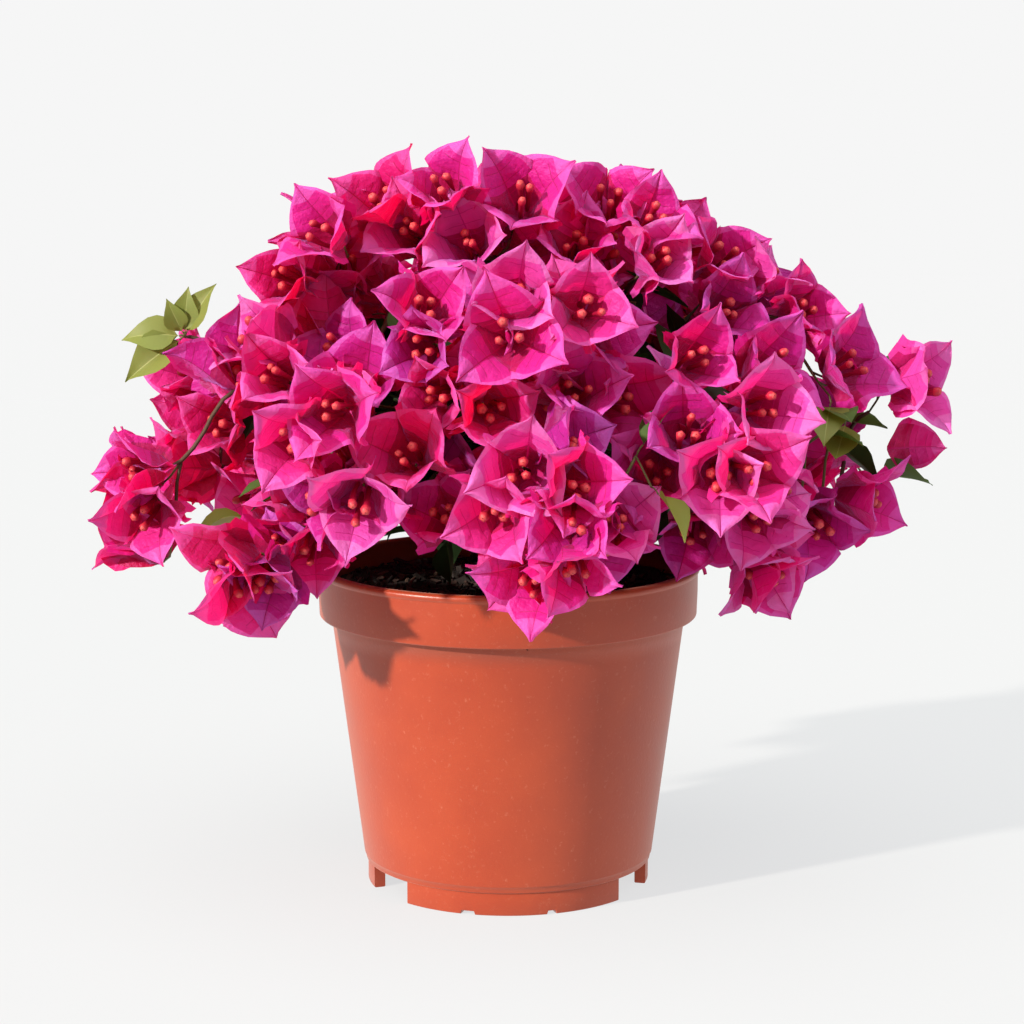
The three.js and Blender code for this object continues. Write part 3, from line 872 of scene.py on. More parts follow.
def surface_darts(node, count):
    """Random points on a mass, evenly over its area, with the directions they face."""
    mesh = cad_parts[node].data
    mesh.calc_loop_triangles()
    corners = np.array([v.co for v in mesh.vertices])
    triangles = corners[[t.vertices[:] for t in mesh.loop_triangles]]
    square = np.cross(triangles[:, 1] - triangles[:, 0], triangles[:, 2] - triangles[:, 0])
    area = np.linalg.norm(square, axis=1)
    picked = rng.choice(len(area), count, p=area / area.sum())
    u, v = rng.random(count), rng.random(count)
    u, v = np.where(u + v > 1, 1 - u, u), np.where(u + v > 1, 1 - v, v)
    a, b, c = (triangles[picked, i] for i in range(3))
    return a + (b - a) * u[:, None] + (c - a) * v[:, None], square[picked] / area[picked, None]


print("masses:", len(MASSES))

# %% [markdown]
# On the plant the blooms crowd the outside of every mass, each facing the light, with a second, shaded
# layer behind that closes the gaps. Points of a regular pattern would look planted, so places come from
# random darts that must keep their distance from each other.

# %% Where blooms sit
SPACING = 29 * MM  # between the middles of two blooms
INNER_DEPTH = 30 * MM  # how far behind the surface the second layer lies
DEEP = 36 * MM  # a bloom's usual depth from foot to rim
LOWEST, HIGHEST = 0.142, 0.362  # darts that would put a bloom outside these heights are dropped
LEAST_OUTWARD = 0.1  # how well a dart must face away from the heart, as a cosine
UNDERSIDE = -0.8  # faces that look further down than this carry no blooms
TO_THE_LIGHT = np.array([0, 0, 0.16])
SCATTER = 0.26
FOOT_BACK = 0.95  # of a bloom's depth, from its place back to its foot
LEADING_BACK = 0.62
HIGH_SPRAY = "mass_spray_right_high"
BARE = (HIGH_SPRAY, "mass_spray_right_tip", "mass_spray_right_low", "mass_sprig_left")
CLOTHED = [name for name in MASSES if name not in BARE]


def unit(v):
    """Vectors made one long."""
    return v / np.linalg.norm(v, axis=-1, keepdims=True)


def thrown(depth, tries, taken=()):
    """Places for blooms at a depth in the masses: feet and axes of those that keep their distance."""
    darts, faces, owners = [], [], []
    for name in CLOTHED:
        points, normals = surface_darts(name, tries)
        low, high = boxes[name]
        # A small mass would look swollen with blooms all over it, so there they start deeper inside.
        small = np.clip(42 * MM - (np.array(high) - np.array(low)).mean() / 2, 0, 11 * MM)
        points = points - normals * small
        smooth = unit(points - np.array(middles_of[name]))
        darts.append(points)
        faces.append(unit(0.4 * normals + 0.6 * smooth))
        owners += [name] * tries
    darts, faces = np.concatenate(darts), np.concatenate(faces)
    kept_points, feet, axes = list(taken), [], []
    for i in rng.permutation(len(darts)):
        point, normal = darts[i], faces[i]
        outward = unit(point - np.array(HEART))
        if normal @ outward < LEAST_OUTWARD or normal[2] < UNDERSIDE:
            continue
        spot = point - normal * depth
        if kept_points and (np.linalg.norm(np.array(kept_points) - spot, axis=1) < SPACING).any():
            continue
        if buried(point + normal * 4 * MM, owners[i], 5 * MM):
            continue
        axis = unit(0.5 * normal + 0.5 * outward + TO_THE_LIGHT + rng.normal(0, SCATTER, 3))
        foot = spot - axis * FOOT_BACK * DEEP
        if foot[2] < LOWEST or spot[2] > HIGHEST:
            continue
        if math.hypot(foot[0], foot[1]) < RIM + 8 * MM and foot[2] < POT_TOP + 6 * MM:
            continue  # it would stand in the pot or on its rim
        kept_points.append(spot)
        feet.append(foot)
        axes.append(axis)
    return np.array(feet), np.array(axes)


print("blooms may sit on", len(CLOTHED), "masses,", round(SPACING / MM), "mm apart")

# %% [markdown]
# The front is what one sees first, so its leading blooms are set one by one, as a florist would, each with
# a place and a way to face. They lie on the front of the masses. The darts then fill in between them and go
# on over the sides, the back and the top.

# %% Leading blooms
# Places in mm along X and Z, then how many degrees each bloom faces to the right and upwards.
LEADING = [
    (-32, 350, -15, 40), (6, 345, 0, 35), (-92, 329, -45, 25), (-63, 342, -30, 45), (48, 345, 15, 50),
    (72, 336, 35, 40), (-21, 324, -20, 25), (33, 324, 5, 40), (-111, 304, -45, 25), (-36, 297, -5, 20),
    (3, 303, 0, 25), (36, 297, 15, 5), (0, 285, 0, 5), (-42, 276, -30, 5), (-36, 255, -20, -5),
    (-78, 252, -15, 10), (-96, 237, -15, 0), (-111, 261, -20, 15), (-144, 231, -30, 0),
    (-160, 258, -45, 20), (-180, 213, -60, -5), (-174, 189, -10, -20), (-132, 174, -45, -15),
    (-111, 165, -20, -35), (-90, 177, 10, -20), (-66, 207, -15, -25), (6, 228, -10, 0), (30, 222, 10, 0),
    (27, 204, 5, -10), (30, 183, 10, -30), (-6, 207, -20, -15), (54, 252, 25, 0), (72, 315, 25, 25),
    (105, 315, 40, 30), (108, 291, 40, 15), (87, 273, 25, 15), (117, 252, 25, 10), (93, 222, -5, 0),
    (111, 225, 25, 5), (114, 198, 15, -10), (87, 180, -5, -35), (117, 168, 25, -35), (170, 262, 45, 30),
    (-6, 250, 5, 5), (-48, 330, -25, 25), (147, 289, 35, 30), (205, 252, 55, 15), (178, 196, 58, 0),
    (150, 183, 20, -20), (126, 164, 45, -40), (-118, 162, 10, -40),
]
LONE = (185, 218)  # the place of a lone bract, likewise
OUTER_DARTS, INNER_DARTS = 420, 200  # darts thrown at each mass
SPRAY_LEAN = np.array([0, -0.3, 0.5])
SPRAY_BACK = 0.6


def on_the_front(x, z):
    """The first point of any mass that lies behind a place of the front, or else the nearest one."""
    start, hits = Vector((x * MM, -0.5, z * MM)), []
    for name in MASSES:
        hit = trees[name].ray_cast(start, Vector((0, 1, 0)))
        if hit[0] is not None:
            hits.append((hit[3], hit[0]))
    if hits:
        return np.array(min(hits, key=lambda hit: hit[0])[1])
    found = [tree.find_nearest(Vector((x * MM, 0, z * MM))) for tree in trees.values()]
    nearest = min(found, key=lambda near: near[3])[0]
    return np.array((x * MM, nearest.y, z * MM))


leading_spots, leading_feet, leading_axes = [], [], []
for x, z, right, up in LEADING:
    right, up = math.radians(right), math.radians(up)
    axis = np.array([math.sin(right) * math.cos(up), -math.cos(right) * math.cos(up), math.sin(up)])
    axis = unit(axis + rng.normal(0, 0.08, 3))
    leading_spots.append(on_the_front(x, z))
    leading_axes.append(axis)
    leading_feet.append(leading_spots[-1] - axis * LEADING_BACK * DEEP)
outer_feet, outer_axes = thrown(0, OUTER_DARTS, leading_spots)
inner_feet, inner_axes = thrown(INNER_DEPTH, INNER_DARTS)

# One more bloom ends the high twig at the right.
spray = np.array(middles_of[HIGH_SPRAY])
spray_axis = unit(unit(spray - np.array(HEART)) * 0.6 + SPRAY_LEAN + rng.normal(0, 0.12, 3))
spray_foot = spray - spray_axis * SPRAY_BACK * DEEP
feet = np.concatenate([leading_feet, outer_feet, inner_feet, [spray_foot]])
axes = np.concatenate([leading_axes, outer_axes, inner_axes, [spray_axis]])
print("blooms:", len(LEADING), "leading,", len(outer_feet), "outside,", len(inner_feet), "inside")

# %% [markdown]
# Every place now gets a bloom of its own: how open it is, how big, and how it is turned round its axis.
# Most blooms of this plant are cups with flaring tips, and only a few lie nearly flat.

# %% Blooms in place
OPENNESS, OPEN_SPREAD = 0.08, 0.18  # 0 is a cup and 1 is flat
SIZES = (34, 42)  # mm, a bract's length
openness = np.clip(rng.normal(OPENNESS, OPEN_SPREAD, len(feet)), -0.15, 0.9)
size = rng.uniform(*SIZES, len(feet)) * MM
turn = rng.uniform(0, 2 * math.pi, len(feet))
spot = bloom_spots(feet, axes, openness, size, turn)
print("bracts:", len(spot["length"]), "of", round(spot["length"].mean() / MM, 1), "mm on average")

# %% [markdown]
# On the plant the tint shifts from bloom to bloom with age. Warm tints are set to the lit left and violet
# and lilac ones to the shaded right, which is painted shade. So each tint has odds that lean with the place
# from left to right, and a bloom's three bracts share the tint it draws.

# %% Tints of the blooms
names = list(BRACT)
# painted shade: the odds lean to violet and lilac on the shaded right
shade_lean = np.clip(feet[:, 0] / 0.2, -1, 1)
odds = {
    "fuchsia": 0.30 - 0.05 * shade_lean,
    "rose": 0.20 - 0.14 * shade_lean,
    "magenta": 0.17 + 0.1 * shade_lean,
    "violet": 0.05 + 0.14 * np.clip(shade_lean, 0, 1),
    "crimson": 0.14 - 0.12 * shade_lean,
    "orchid": 0.14 + 0.1 * shade_lean,
}
weights = np.stack([odds[name] for name in names], 1)
weights = np.cumsum(weights / weights.sum(1, keepdims=True), 1)
tint = (rng.random(len(feet))[:, None] > weights).sum(1)
tint_of_bract = np.repeat(tint, 3)
print("blooms of each tint:", {name: int((tint == number).sum()) for number, name in enumerate(names)})

# %% [markdown]
# All the bracts of one tint are joined into as few pieces as a limit on triangles allows, since hundreds
# of separate objects would be slow to handle. Together they stand for the solid masses of the frame.

# %% Bracts
MOST_TRIANGLES = 190_000  # in one piece
LONE_SIZE, LONE_OPENNESS = 30 * MM, 0.9
LONE_AXIS = unit(np.array([0.55, 0.8, 0.1]))
grids = bract_points(spot)

# A bract that has lost its two neighbours hangs from the tip of the right spray, its back to the front.
one = [np.array([value]) for value in (on_the_front(*LONE), LONE_AXIS, LONE_OPENNESS, LONE_SIZE, 0.0)]
lone = bloom_spots(*one, count=1)
grids = np.concatenate([grids, bract_points(lone)])
tint_of_bract = np.append(tint_of_bract, names.index("rose"))
for number, name in enumerate(names):
    mine = grids[tint_of_bract == number]
    parts = math.ceil(len(mine) * 2 * len(GRID_FACES) / MOST_TRIANGLES)
    for part, some in enumerate(np.array_split(mine, parts)):
        points, faces, picks = joined(some, GRID_FACES, GRID_PICKS)
        title, places = f"bracts_{name}_{part + 1}", atlas(len(some), N_ROWS, N_COLUMNS)
        piece(title, points, faces, BRACT[name], picks, places=places)
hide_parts(*MASSES)

# %% [markdown]
# The flowers come from the same fields as their bracts, so each stands in front of its own bract. They
# are joined apart from the bracts, because they are another part of the plant with finishes of its own.

# %% Flowers
flowers = flower_points(spot)
for part, some in enumerate(np.array_split(flowers, 2)):
    points, faces, picks = joined(some, FLOWER_FACES, FLOWER_PICKS)
    piece(f"flowers_{part + 1}", points, faces, FLOWER, picks)
print("flowers:", len(flowers), "in", len(flowers) * 2 * len(FLOWER_FACES), "triangles")

# %% [markdown]
# Stem, boughs, twigs and stalks are all round wood, only of different thickness. Curves with a bevel
# would draw them, but a curve's rings can't be pushed about, so one function sweeps rings of points
# along a line: many sides for the stem and boughs, five for a twig. From one ring to the next the
# directions turn as little as possible, which keeps the faces from twisting.

# %% Tubes
def frames_along(line):
    """Two directions square to a line at each of its points, turning as little as possible."""
    tangents = unit(np.gradient(line, axis=0))
    first = np.cross(tangents[0], (0, 0, 1) if abs(tangents[0][2]) < 0.9 else (1, 0, 0))
    firsts = [unit(first)]
    for tangent in tangents[1:]:
        firsts.append(unit(firsts[-1] - tangent * (firsts[-1] @ tangent)))
    firsts = np.array(firsts)
    return firsts, np.cross(tangents, firsts)


def tube(line, widths, sides):
    """Points and faces of a tube round a line, closed at both ends."""
    line, widths = np.asarray(line), np.asarray(widths)
    first, second = frames_along(line)
    angle = np.arange(sides) * 2 * math.pi / sides
    ring = np.cos(angle)[None, :, None] * first[:, None] + np.sin(angle)[None, :, None] * second[:, None]
    points = (line[:, None] + widths[:, None, None] * ring).reshape(-1, 3)
    faces = ring_faces(len(line), sides)
    faces.append(tuple(reversed(range(sides))))
    faces.append(tuple((len(line) - 1) * sides + j for j in range(sides)))
    return points, faces


def smooth_line(points, step):
    """A line through points, rounded and divided into steps of about one length."""
    points = np.asarray(points)
    far = np.concatenate([[0], np.cumsum(np.linalg.norm(np.diff(points, axis=0), axis=1))])
    at = np.linspace(0, far[-1], max(3, round(far[-1] / step) + 1))
    line = np.stack([np.interp(at, far, points[:, i]) for i in range(3)], 1)
    for _ in range(round(8 * MM / step) + 1):
        line[1:-1] = 0.5 * line[1:-1] + 0.25 * (line[:-2] + line[2:])
    return line, at / far[-1]


print("a tube of 3 rings and 5 sides has", len(ring_faces(3, 5)) + 2, "faces")

# %% [markdown]
# Bark on a bougainvillea is grey-brown cork that has split as the wood grew: paler ridges, darker
# cracks, matt all over. The cracks run up the limb, so the noise that draws them is squeezed round it
# and stretched along it.

# %% Bark finish
CRACKS = (500, 500, 110)  # cracks about 2 mm apart and 10 mm long


def fissured_bark():
    """Grey-brown cork, paler on its ridges and darker in its cracks, matt all over."""
    material, tree = finish("fissured_bark")
    place = add(tree, "ShaderNodeTexCoord").outputs["Object"]
    long_way = add(tree, "ShaderNodeMapping", {"Vector": place, "Scale": CRACKS})
    cracks = add(tree, "ShaderNodeTexNoise", {"Vector": long_way.outputs[0], "Scale": 1, "Detail": 5})
    span = {"Value": cracks.outputs["Fac"], "From Min": 0.35, "From Max": 0.65}
    ridges = add(tree, "ShaderNodeMapRange", span)
    tints = {0: ridges.outputs[0], 6: colour("#3A2A20"), 7: colour("#86725E")}
    tint = add(tree, "ShaderNodeMix", tints, data_type="RGBA")
    relief = add(tree, "ShaderNodeBump", {"Height": ridges.outputs[0], "Strength": 0.5, "Distance": 0.0008})
    sockets = {"Base Color": tint.outputs[2], "Roughness": 0.88, "Normal": relief.outputs[0]}
    show(tree, add(tree, "ShaderNodeBsdfPrincipled", sockets))
    return material


BARK = fissured_bark()
print("bark finish:", BARK.name)

# %% [markdown]
# The relief of the bark is in the mesh too, so that the outline of a limb is rough. Each point of a tube
# is pushed out by noise that follows the way it faces, which draws ridges along the limb, and by a wider
# noise for knots. The stem flares where it meets the compost.

# %% Stem and boughs
BARK_STEP = 2.6 * MM
RIDGE_HIGH = 0.11  # of the limb's radius
KNOT_HIGH = 0.07
ROOT_FLARE = 5 * MM


def rough_limb(line, widths, sides):
    """A limb's points and faces, with ridges 1.5 to 3 mm apart round it and now and then a knot."""
    points, faces = tube(line, widths, sides)
    middles = np.repeat(np.asarray(line), sides, 0)
    out = points - middles
    lengths = np.linalg.norm(out, axis=1)
    for i, point in enumerate(points):
        facing = out[i] / lengths[i] * 3.2
        grain = Vector((facing[0], facing[1], out[i][2] * 300 + point[2] * 55))
        push = RIDGE_HIGH * noise.noise(grain) + KNOT_HIGH * noise.noise(Vector(point) * 160)
        points[i] = middles[i] + out[i] * (1 + push)
    return points, faces


def together(parts):
    """Many pieces' points and faces as one."""
    points, faces, before = [], [], 0
    for some_points, some_faces in parts:
        points.append(some_points)
        faces += [tuple(before + i for i in face) for face in some_faces]
        before += len(some_points)
    return np.concatenate(points), faces


stem_middles, stem_widths = lines["stem"]
down = stem_middles[0] + (stem_middles[0] - stem_middles[1]) * 0.5
stem_line, share = smooth_line(np.vstack([down, stem_middles, stem_middles[-1] + (0, 0, 0.006)]), BARK_STEP)
stem_wide = np.interp(share, np.linspace(0.1, 1, len(stem_widths)), stem_widths)
stem_wide += ROOT_FLARE * np.clip(1 - share / 0.3, 0, 1) ** 2
bark_parts = [rough_limb(stem_line, stem_wide, 26)]
limb_lines = {}
for name in LIMBS:
    middles, widths = lines[name]
    inside_stem = np.array(FORK) * 0.55 + middles[0] * 0.45 - (0, 0, 0.004)
    line, share = smooth_line(np.vstack([inside_stem, middles]), BARK_STEP)
    limb_lines[name] = (line, np.interp(share, np.linspace(0.08, 1, len(widths)), widths))
    bark_parts.append(rough_limb(*limb_lines[name], 18))
points, faces = together(bark_parts)
bark = piece("stem_and_boughs", points, faces, [BARK])
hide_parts("stem", *LIMBS)
print("bark:", len(faces), "faces on the stem and", len(LIMBS), "boughs")

# %% [markdown]
# Twigs carry each bloom on from the nearest older wood. Every bloom looks for the closest point of the
# skeleton that lies nearer to the heart than itself, and a bent twig joins the two and becomes part of
# the skeleton, so later blooms can branch off it. Wood is thicker the more blooms it feeds.

# %% Twigs
class Skeleton:
    """The plant's wood as points, each with the point it grows on from and the blooms it feeds."""

    def __init__(self):
        self.points, self.parents, self.load = [], [], []

    def grow(self, point, parent):
        """Add a point that grows on from another, and return its number."""
        self.points.append(np.asarray(point, dtype=float))
        self.parents.append(parent)
        self.load.append(0)
        return len(self.points) - 1

    def feed(self, tip, amount=1.0):
        """Load the wood from a tip back to the fork."""
        while tip >= 0:
            self.load[tip] += amount
            tip = self.parents[tip]


TWIG_STEP = 9 * MM
WOBBLE = 0.7 * MM
TOO_FAR_OUT = 0.2  # metres added to the distance of wood that lies further out than the target
LONG_LOAD = 3  # a long twig is as thick as if it fed three blooms

wood = Skeleton()
root = wood.grow(FORK, -1)
for name in LIMBS:
    at = root
    for point in limb_lines[name][0][4::5]:
        at = wood.grow(point, at)
chains = []  # twigs as lists of the skeleton's points


def nearest_wood(target):
    """The point of the skeleton a twig to the target starts from."""
    points = np.array(wood.points)
    far = np.linalg.norm(points - target, axis=1)
    from_heart = np.linalg.norm(points - np.array(HEART), axis=1)
    own = np.linalg.norm(target - np.array(HEART))
    return int(np.argmin(far + np.where(from_heart > own - 6 * MM, TOO_FAR_OUT, 0)))


def twig_to(target, arriving):
    """A bent twig from the skeleton to a target, which it reaches along a direction."""
    start = nearest_wood(target)
    begin = wood.points[start]
    gap = np.linalg.norm(target - begin)
    parent = wood.parents[start]
    heading = unit(begin - wood.points[parent]) if parent >= 0 else unit(target - begin)
    leave = begin + (0.5 * heading + 0.5 * unit(target - begin)) * gap * 0.38
    arrive = target - arriving * min(gap * 0.38, 22 * MM)
    count = max(2, round(gap / TWIG_STEP))
    at, chain = start, [start]
    for t in np.linspace(0, 1, count + 1)[1:]:
        s = 1 - t
        point = s**3 * begin + 3 * t * s**2 * leave + 3 * t**2 * s * arrive + t**3 * target
        point = point + rng.normal(0, WOBBLE, 3) * (t < 1)
        at = wood.grow(point, at)
        chain.append(at)
    wood.feed(at)
    chains.append(chain)
    return chain


long_chains = {}
for name in LONG_TWIGS:
    middles = lines[name][0]
    at = nearest_wood(middles[0])
    chain = [at]
    for point in smooth_line(np.vstack([wood.points[at], middles]), TWIG_STEP)[0][1:]:
        at = wood.grow(point, at)
        chain.append(at)
    wood.feed(at, LONG_LOAD)
    chains.append(chain)
    long_chains[name] = chain
bloom_chains = {}
for i in np.argsort(np.linalg.norm(feet - np.array(HEART), axis=1)):
    bloom_chains[i] = twig_to(feet[i], axes[i])
print("twigs:", len(chains), "with", len(wood.points), "points")

# %% [markdown]
# Leaves are heart-shaped to ovate with a drawn-out tip, folded a little along the midrib, and dark
# green with young ones olive. They sit one by one along the twigs behind the blooms, and show where
# the blossom thins out. Like the bracts, they are a grid whose middle strip is the midrib, bent by a
# droop, a fold and a wave.

# %% Leaf shape
LEAF_RUN = np.array([0, 0.07, 0.2, 0.36, 0.52, 0.68, 0.82, 0.93, 1])
LEAF_WIDE = np.array([0.08, 0.55, 0.92, 1, 0.86, 0.58, 0.29, 0.1, 0.01])
LEAF_ACROSS = np.array([-1, -0.5, -0.035, 0.035, 0.5, 1])
LEAF_RIB = 2  # the strip between two columns that is the midrib


def leaf_points(leaf):
    """Points of every leaf from its fields, as an array (leaf, row, column, 3)."""
    length, width = leaf["length"][:, None, None], leaf["width"][:, None, None]
    run = LEAF_RUN[None, :, None] + 0.06 * np.abs(LEAF_ACROSS)[None, None] * (1 - LEAF_RUN)[None, :, None]
    bend_down = leaf["droop"][:, None, None] * run
    ahead = length * run * np.sinc(bend_down / math.pi)
    tightness = np.maximum(np.abs(bend_down), 0.02)
    sag = -length * run * np.sin(bend_down / 2) ** 2 * 2 / tightness * np.sign(bend_down)
    wide = width * LEAF_WIDE[None, :, None] * LEAF_ACROSS[None, None]
    fold = leaf["fold"][:, None, None]
    phase = leaf["phase"][:, None, None]
    wavy = 0.06 * width * np.sin(9 * run + phase) * LEAF_ACROSS**2
    high = sag + np.abs(wide) * np.sin(fold) + wavy - 0.02 * width * (np.abs(LEAF_ACROSS) < 0.1)
    aside = wide * np.cos(fold)
    side_axis = np.cross(leaf["along"], leaf["up"])
    put = leaf["foot"][:, None, None] + ahead[..., None] * leaf["along"][:, None, None]
    return put + aside[..., None] * side_axis[:, None, None] + high[..., None] * leaf["up"][:, None, None]


LEAF_COLUMNS = len(LEAF_ACROSS)
LEAF_FACES = grid_faces(len(LEAF_RUN), LEAF_COLUMNS)
LEAF_PICKS = np.tile((np.arange(LEAF_COLUMNS - 1) == LEAF_RIB).astype(int), len(LEAF_RUN) - 1)
print("leaf:", len(LEAF_FACES), "faces")

# %% [markdown]
# A leaf is leathery and a little waxy above, darker than one expects, and lets yellow-green light
# through when the sun is behind it. Each finish is one plain colour with a paler one for the midrib, and
# every leaf takes one of three tints by its age: dark and old, green, or young and olive.

# %% Leaf finishes
LEAF_THROUGH = 0.3  # share of the light that passes through a leaf
LEAF_TINTS = {  # blade, light through it, midrib
    "dark": ("#26401C", "#2C4A10", "#4C6434"),
    "green": ("#42602A", "#567418", "#6C8448"),
    "olive": ("#76803A", "#8C9A26", "#98A05C"),
}


def leathery(name, front, through):
    """A slightly glossy skin that lets some light through in a colour of its own."""
    material, tree = finish(name)
    sockets = {"Base Color": colour(front), "Roughness": 0.55, "IOR": 1.45}
    skin = add(tree, "ShaderNodeBsdfPrincipled", sockets)
    glow = add(tree, "ShaderNodeBsdfTranslucent", {"Color": colour(through)})
    show(tree, add(tree, "ShaderNodeMixShader", {0: LEAF_THROUGH, 1: skin.outputs[0], 2: glow.outputs[0]}))
    return material


LEAF = {
    name: [leathery("leaf_" + name, blade, through), leathery("leaf_vein_" + name, vein, through)]
    for name, (blade, through, vein) in LEAF_TINTS.items()
}
print("leaf tints:", ", ".join(LEAF))

# %% [markdown]
# In flower the plant hides most of its leaves. Some stand on the twigs behind the blooms, some fill the
# gaps where one mass ends and the next begins, old ones shade the middle of the crown, and a bare sprig
# at the left ends in young ones. A leaf never lies in the open cup of a bloom, so each place is tested.

# %% One leaf
leaf_feet, leaf_along, leaf_up, leaf_long, leaf_tint = [], [], [], [], []
stalks = []
CUP_FROM, CUP_DEEP = 8 * MM, 38 * MM  # along a bloom's axis, where its cup starts and ends
CUP_WIDE, CUP_FLARE = 4 * MM, 0.4  # its radius at the foot, and how fast it widens


def fills_a_cup(target, along, length):
    """Whether a leaf would lie between the bracts of some bloom."""
    for share in (0.1, 0.5, 1):
        gap = target + along * length * share - feet
        high = (gap * axes).sum(1)
        away = np.linalg.norm(gap - axes * high[:, None], axis=1)
        if ((high > CUP_FROM) & (high < CUP_DEEP) & (away < CUP_WIDE + CUP_FLARE * high)).any():
            return True
    return False


def leaf_at(start, target, along, length, tint, facing=None):
    """One leaf at a target, on a short stalk from a point of the skeleton."""
    begin = wood.points[start]
    bow = (begin + target) / 2 + np.array([0, 0, 1.5 * MM])
    t = np.linspace(0, 1, 4)[:, None]
    stalks.append((1 - t) ** 2 * begin + 2 * t * (1 - t) * bow + t**2 * target)
    up = np.array([0, 0, 1.0]) + 0.3 * unit(target - np.array(HEART)) if facing is None else facing
    up = unit(up + rng.normal(0, 0.35 if facing is None else 0.1, 3))
    side = unit(np.cross(along, up))
    leaf_feet.append(target)
    leaf_along.append(along)
    leaf_up.append(np.cross(side, along))
    leaf_long.append(length)
    leaf_tint.append(tint)


print("a leaf held on the axis of the first bloom fills its cup:", fills_a_cup(feet[0], axes[0], 25 * MM))

# %% [markdown]
# Behind the blooms a leaf stands near the end of a twig, square to it. One that would stick out past the
# blossom is left off, as it would cover the bracts that give the plant its colour.

# %% Leaves behind the blooms
OLD_LENGTHS = (20, 32)  # mm
OLD_ODDS = (0.75, 0.22, 0.03)  # of a dark, a green and an olive leaf
LEAFY_TWIGS = 0.7  # share of the twigs that may carry a leaf
for i, chain in bloom_chains.items():
    if len(chain) > 3 and rng.random() < LEAFY_TWIGS:
        start = chain[rng.integers(max(1, len(chain) - 4), len(chain) - 2)]
        side = across(axes[i][None], rng.uniform(0, 2 * math.pi, 1))[0]
        along = unit(side + 0.15 * axes[i] + np.array([0, 0, -0.15]))
        target = wood.points[start] + along * rng.uniform(5, 9) * MM
        tint, length = rng.choice(3, p=OLD_ODDS), rng.uniform(*OLD_LENGTHS) * MM
        if buried(target + along * length) and not fills_a_cup(target, along, length):
            leaf_at(start, target, along, length, tint)
print("leaves behind blooms:", len(leaf_feet))

# %% [markdown]
# Where two masses of blossom meet, it parts and leaves reach the light between them. The gap's middle is
# halfway between the two masses, and each leaf there gets a twig of its own.

# %% Leaves in the gaps
GAPS = [  # two masses, and how many leaves
    ("mass_front_middle", "mass_front_right", 5),
    ("mass_front_right", "mass_lower_right", 2),
    ("mass_side_right", "mass_spray_right_low", 2),
    ("mass_side_right", "mass_spray_right_tip", 2),
    ("mass_front_left", "mass_lower_left", 3),
    ("mass_front_left", "mass_front_middle", 1),
    ("mass_side_left", "mass_lower_left", 2),
    ("mass_hanging_left", "mass_lower_left", 2),
    ("mass_back_low_left", "mass_back_middle", 4),
    ("mass_back_low_right", "mass_back_middle", 4),
]
LEAFY = [(150, -30, 236, 5), (162, -20, 218, 3)]  # leaves alone show here: X, Y and Z in mm, and how many
clumps = []
for one, other, count in GAPS:
    clumps.append(((np.array(middles_of[one]) + np.array(middles_of[other])) / 2, count))
clumps += [(np.array(place[:3]) * MM, place[3]) for place in LEAFY]
GAP_LENGTHS = (26, 38)  # mm
GAP_ODDS = (0.35, 0.45, 0.2)
for middle, count in clumps:
    for _ in range(count):
        target = middle + rng.normal(0, 10 * MM, 3)
        outward = unit(target - np.array(HEART))
        along = unit(0.7 * outward + rng.normal(0, 0.5, 3) + np.array([0, -0.1, -0.1]))
        length, tint = rng.uniform(*GAP_LENGTHS) * MM, rng.choice(3, p=GAP_ODDS)
        if not fills_a_cup(target, along, length):
            chain = twig_to(target - along * 6 * MM, along)
            leaf_at(chain[-1], target, along, length, tint)
print("leaves with those in the gaps:", len(leaf_feet))

# %% [markdown]
# The middle of the crown is full of old, dark leaves in the shade. They close the view through it, so
# that between two blooms one sees deep green and not the sky.

# %% Leaves in the shade
SHADE_LEAVES = 420
SHADE_LENGTHS = (28, 44)  # mm
SHADE_REACH = 36 * MM  # the furthest a leaf stands from the wood it grows on
SHADE_MIDDLE = np.array([0, 0, 0.236])
SHADE_WIDE = np.array([0.12, 0.09, 0.07])
shade_leaves = 0
while shade_leaves < SHADE_LEAVES:
    away = unit(rng.normal(0, 1, 3)) * rng.uniform(0.3, 1)
    target = SHADE_MIDDLE + away * SHADE_WIDE
    along = unit(0.3 * away + rng.normal(0, 1, 3))
    start, length = nearest_wood(target), rng.uniform(*SHADE_LENGTHS) * MM
    near = np.linalg.norm(wood.points[start] - target) < SHADE_REACH
    if near and target[2] > POT_TOP + 12 * MM and not fills_a_cup(target, along, length):
        leaf_at(start, target, along, length, 0)
        shade_leaves += 1
print("leaves with those in the shade:", len(leaf_feet))

# %% [markdown]
# At the left a bare sprig has grown out of the crown. It carries no blossom yet, only a tuft of young,
# olive leaves at its tip, which turn their faces to the front.

# %% Leaves of the sprig
SPRIG_FACING = np.array([-0.3, -0.9, 0.6])
sprig = long_chains["twig_sprig_left"]
tip = wood.points[sprig[-1]] + np.array([-2, -2, 0]) * MM
sprig.append(wood.grow(tip, sprig[-1]))
wood.feed(sprig[-1])
# Which way each leaf points along X and Z, and its length in mm.
YOUNG = ((-0.85, -0.5, 34), (-1, 0.2, 30), (-0.4, 0.9, 18), (0.4, 0.95, 28), (0.05, 1, 22))
for right, up, length in YOUNG:
    along = unit(np.array([right, -0.25, up]))
    leaf_at(sprig[-1], tip + along * 3 * MM, along, length * MM, 2, SPRIG_FACING)
print("leaves on the sprig:", len(YOUNG))

# %% [markdown]
# So far each leaf is only a place, a direction, a length and a tint. Now all of them get their width,
# fold and droop from the generator, and are joined into one piece for each tint.

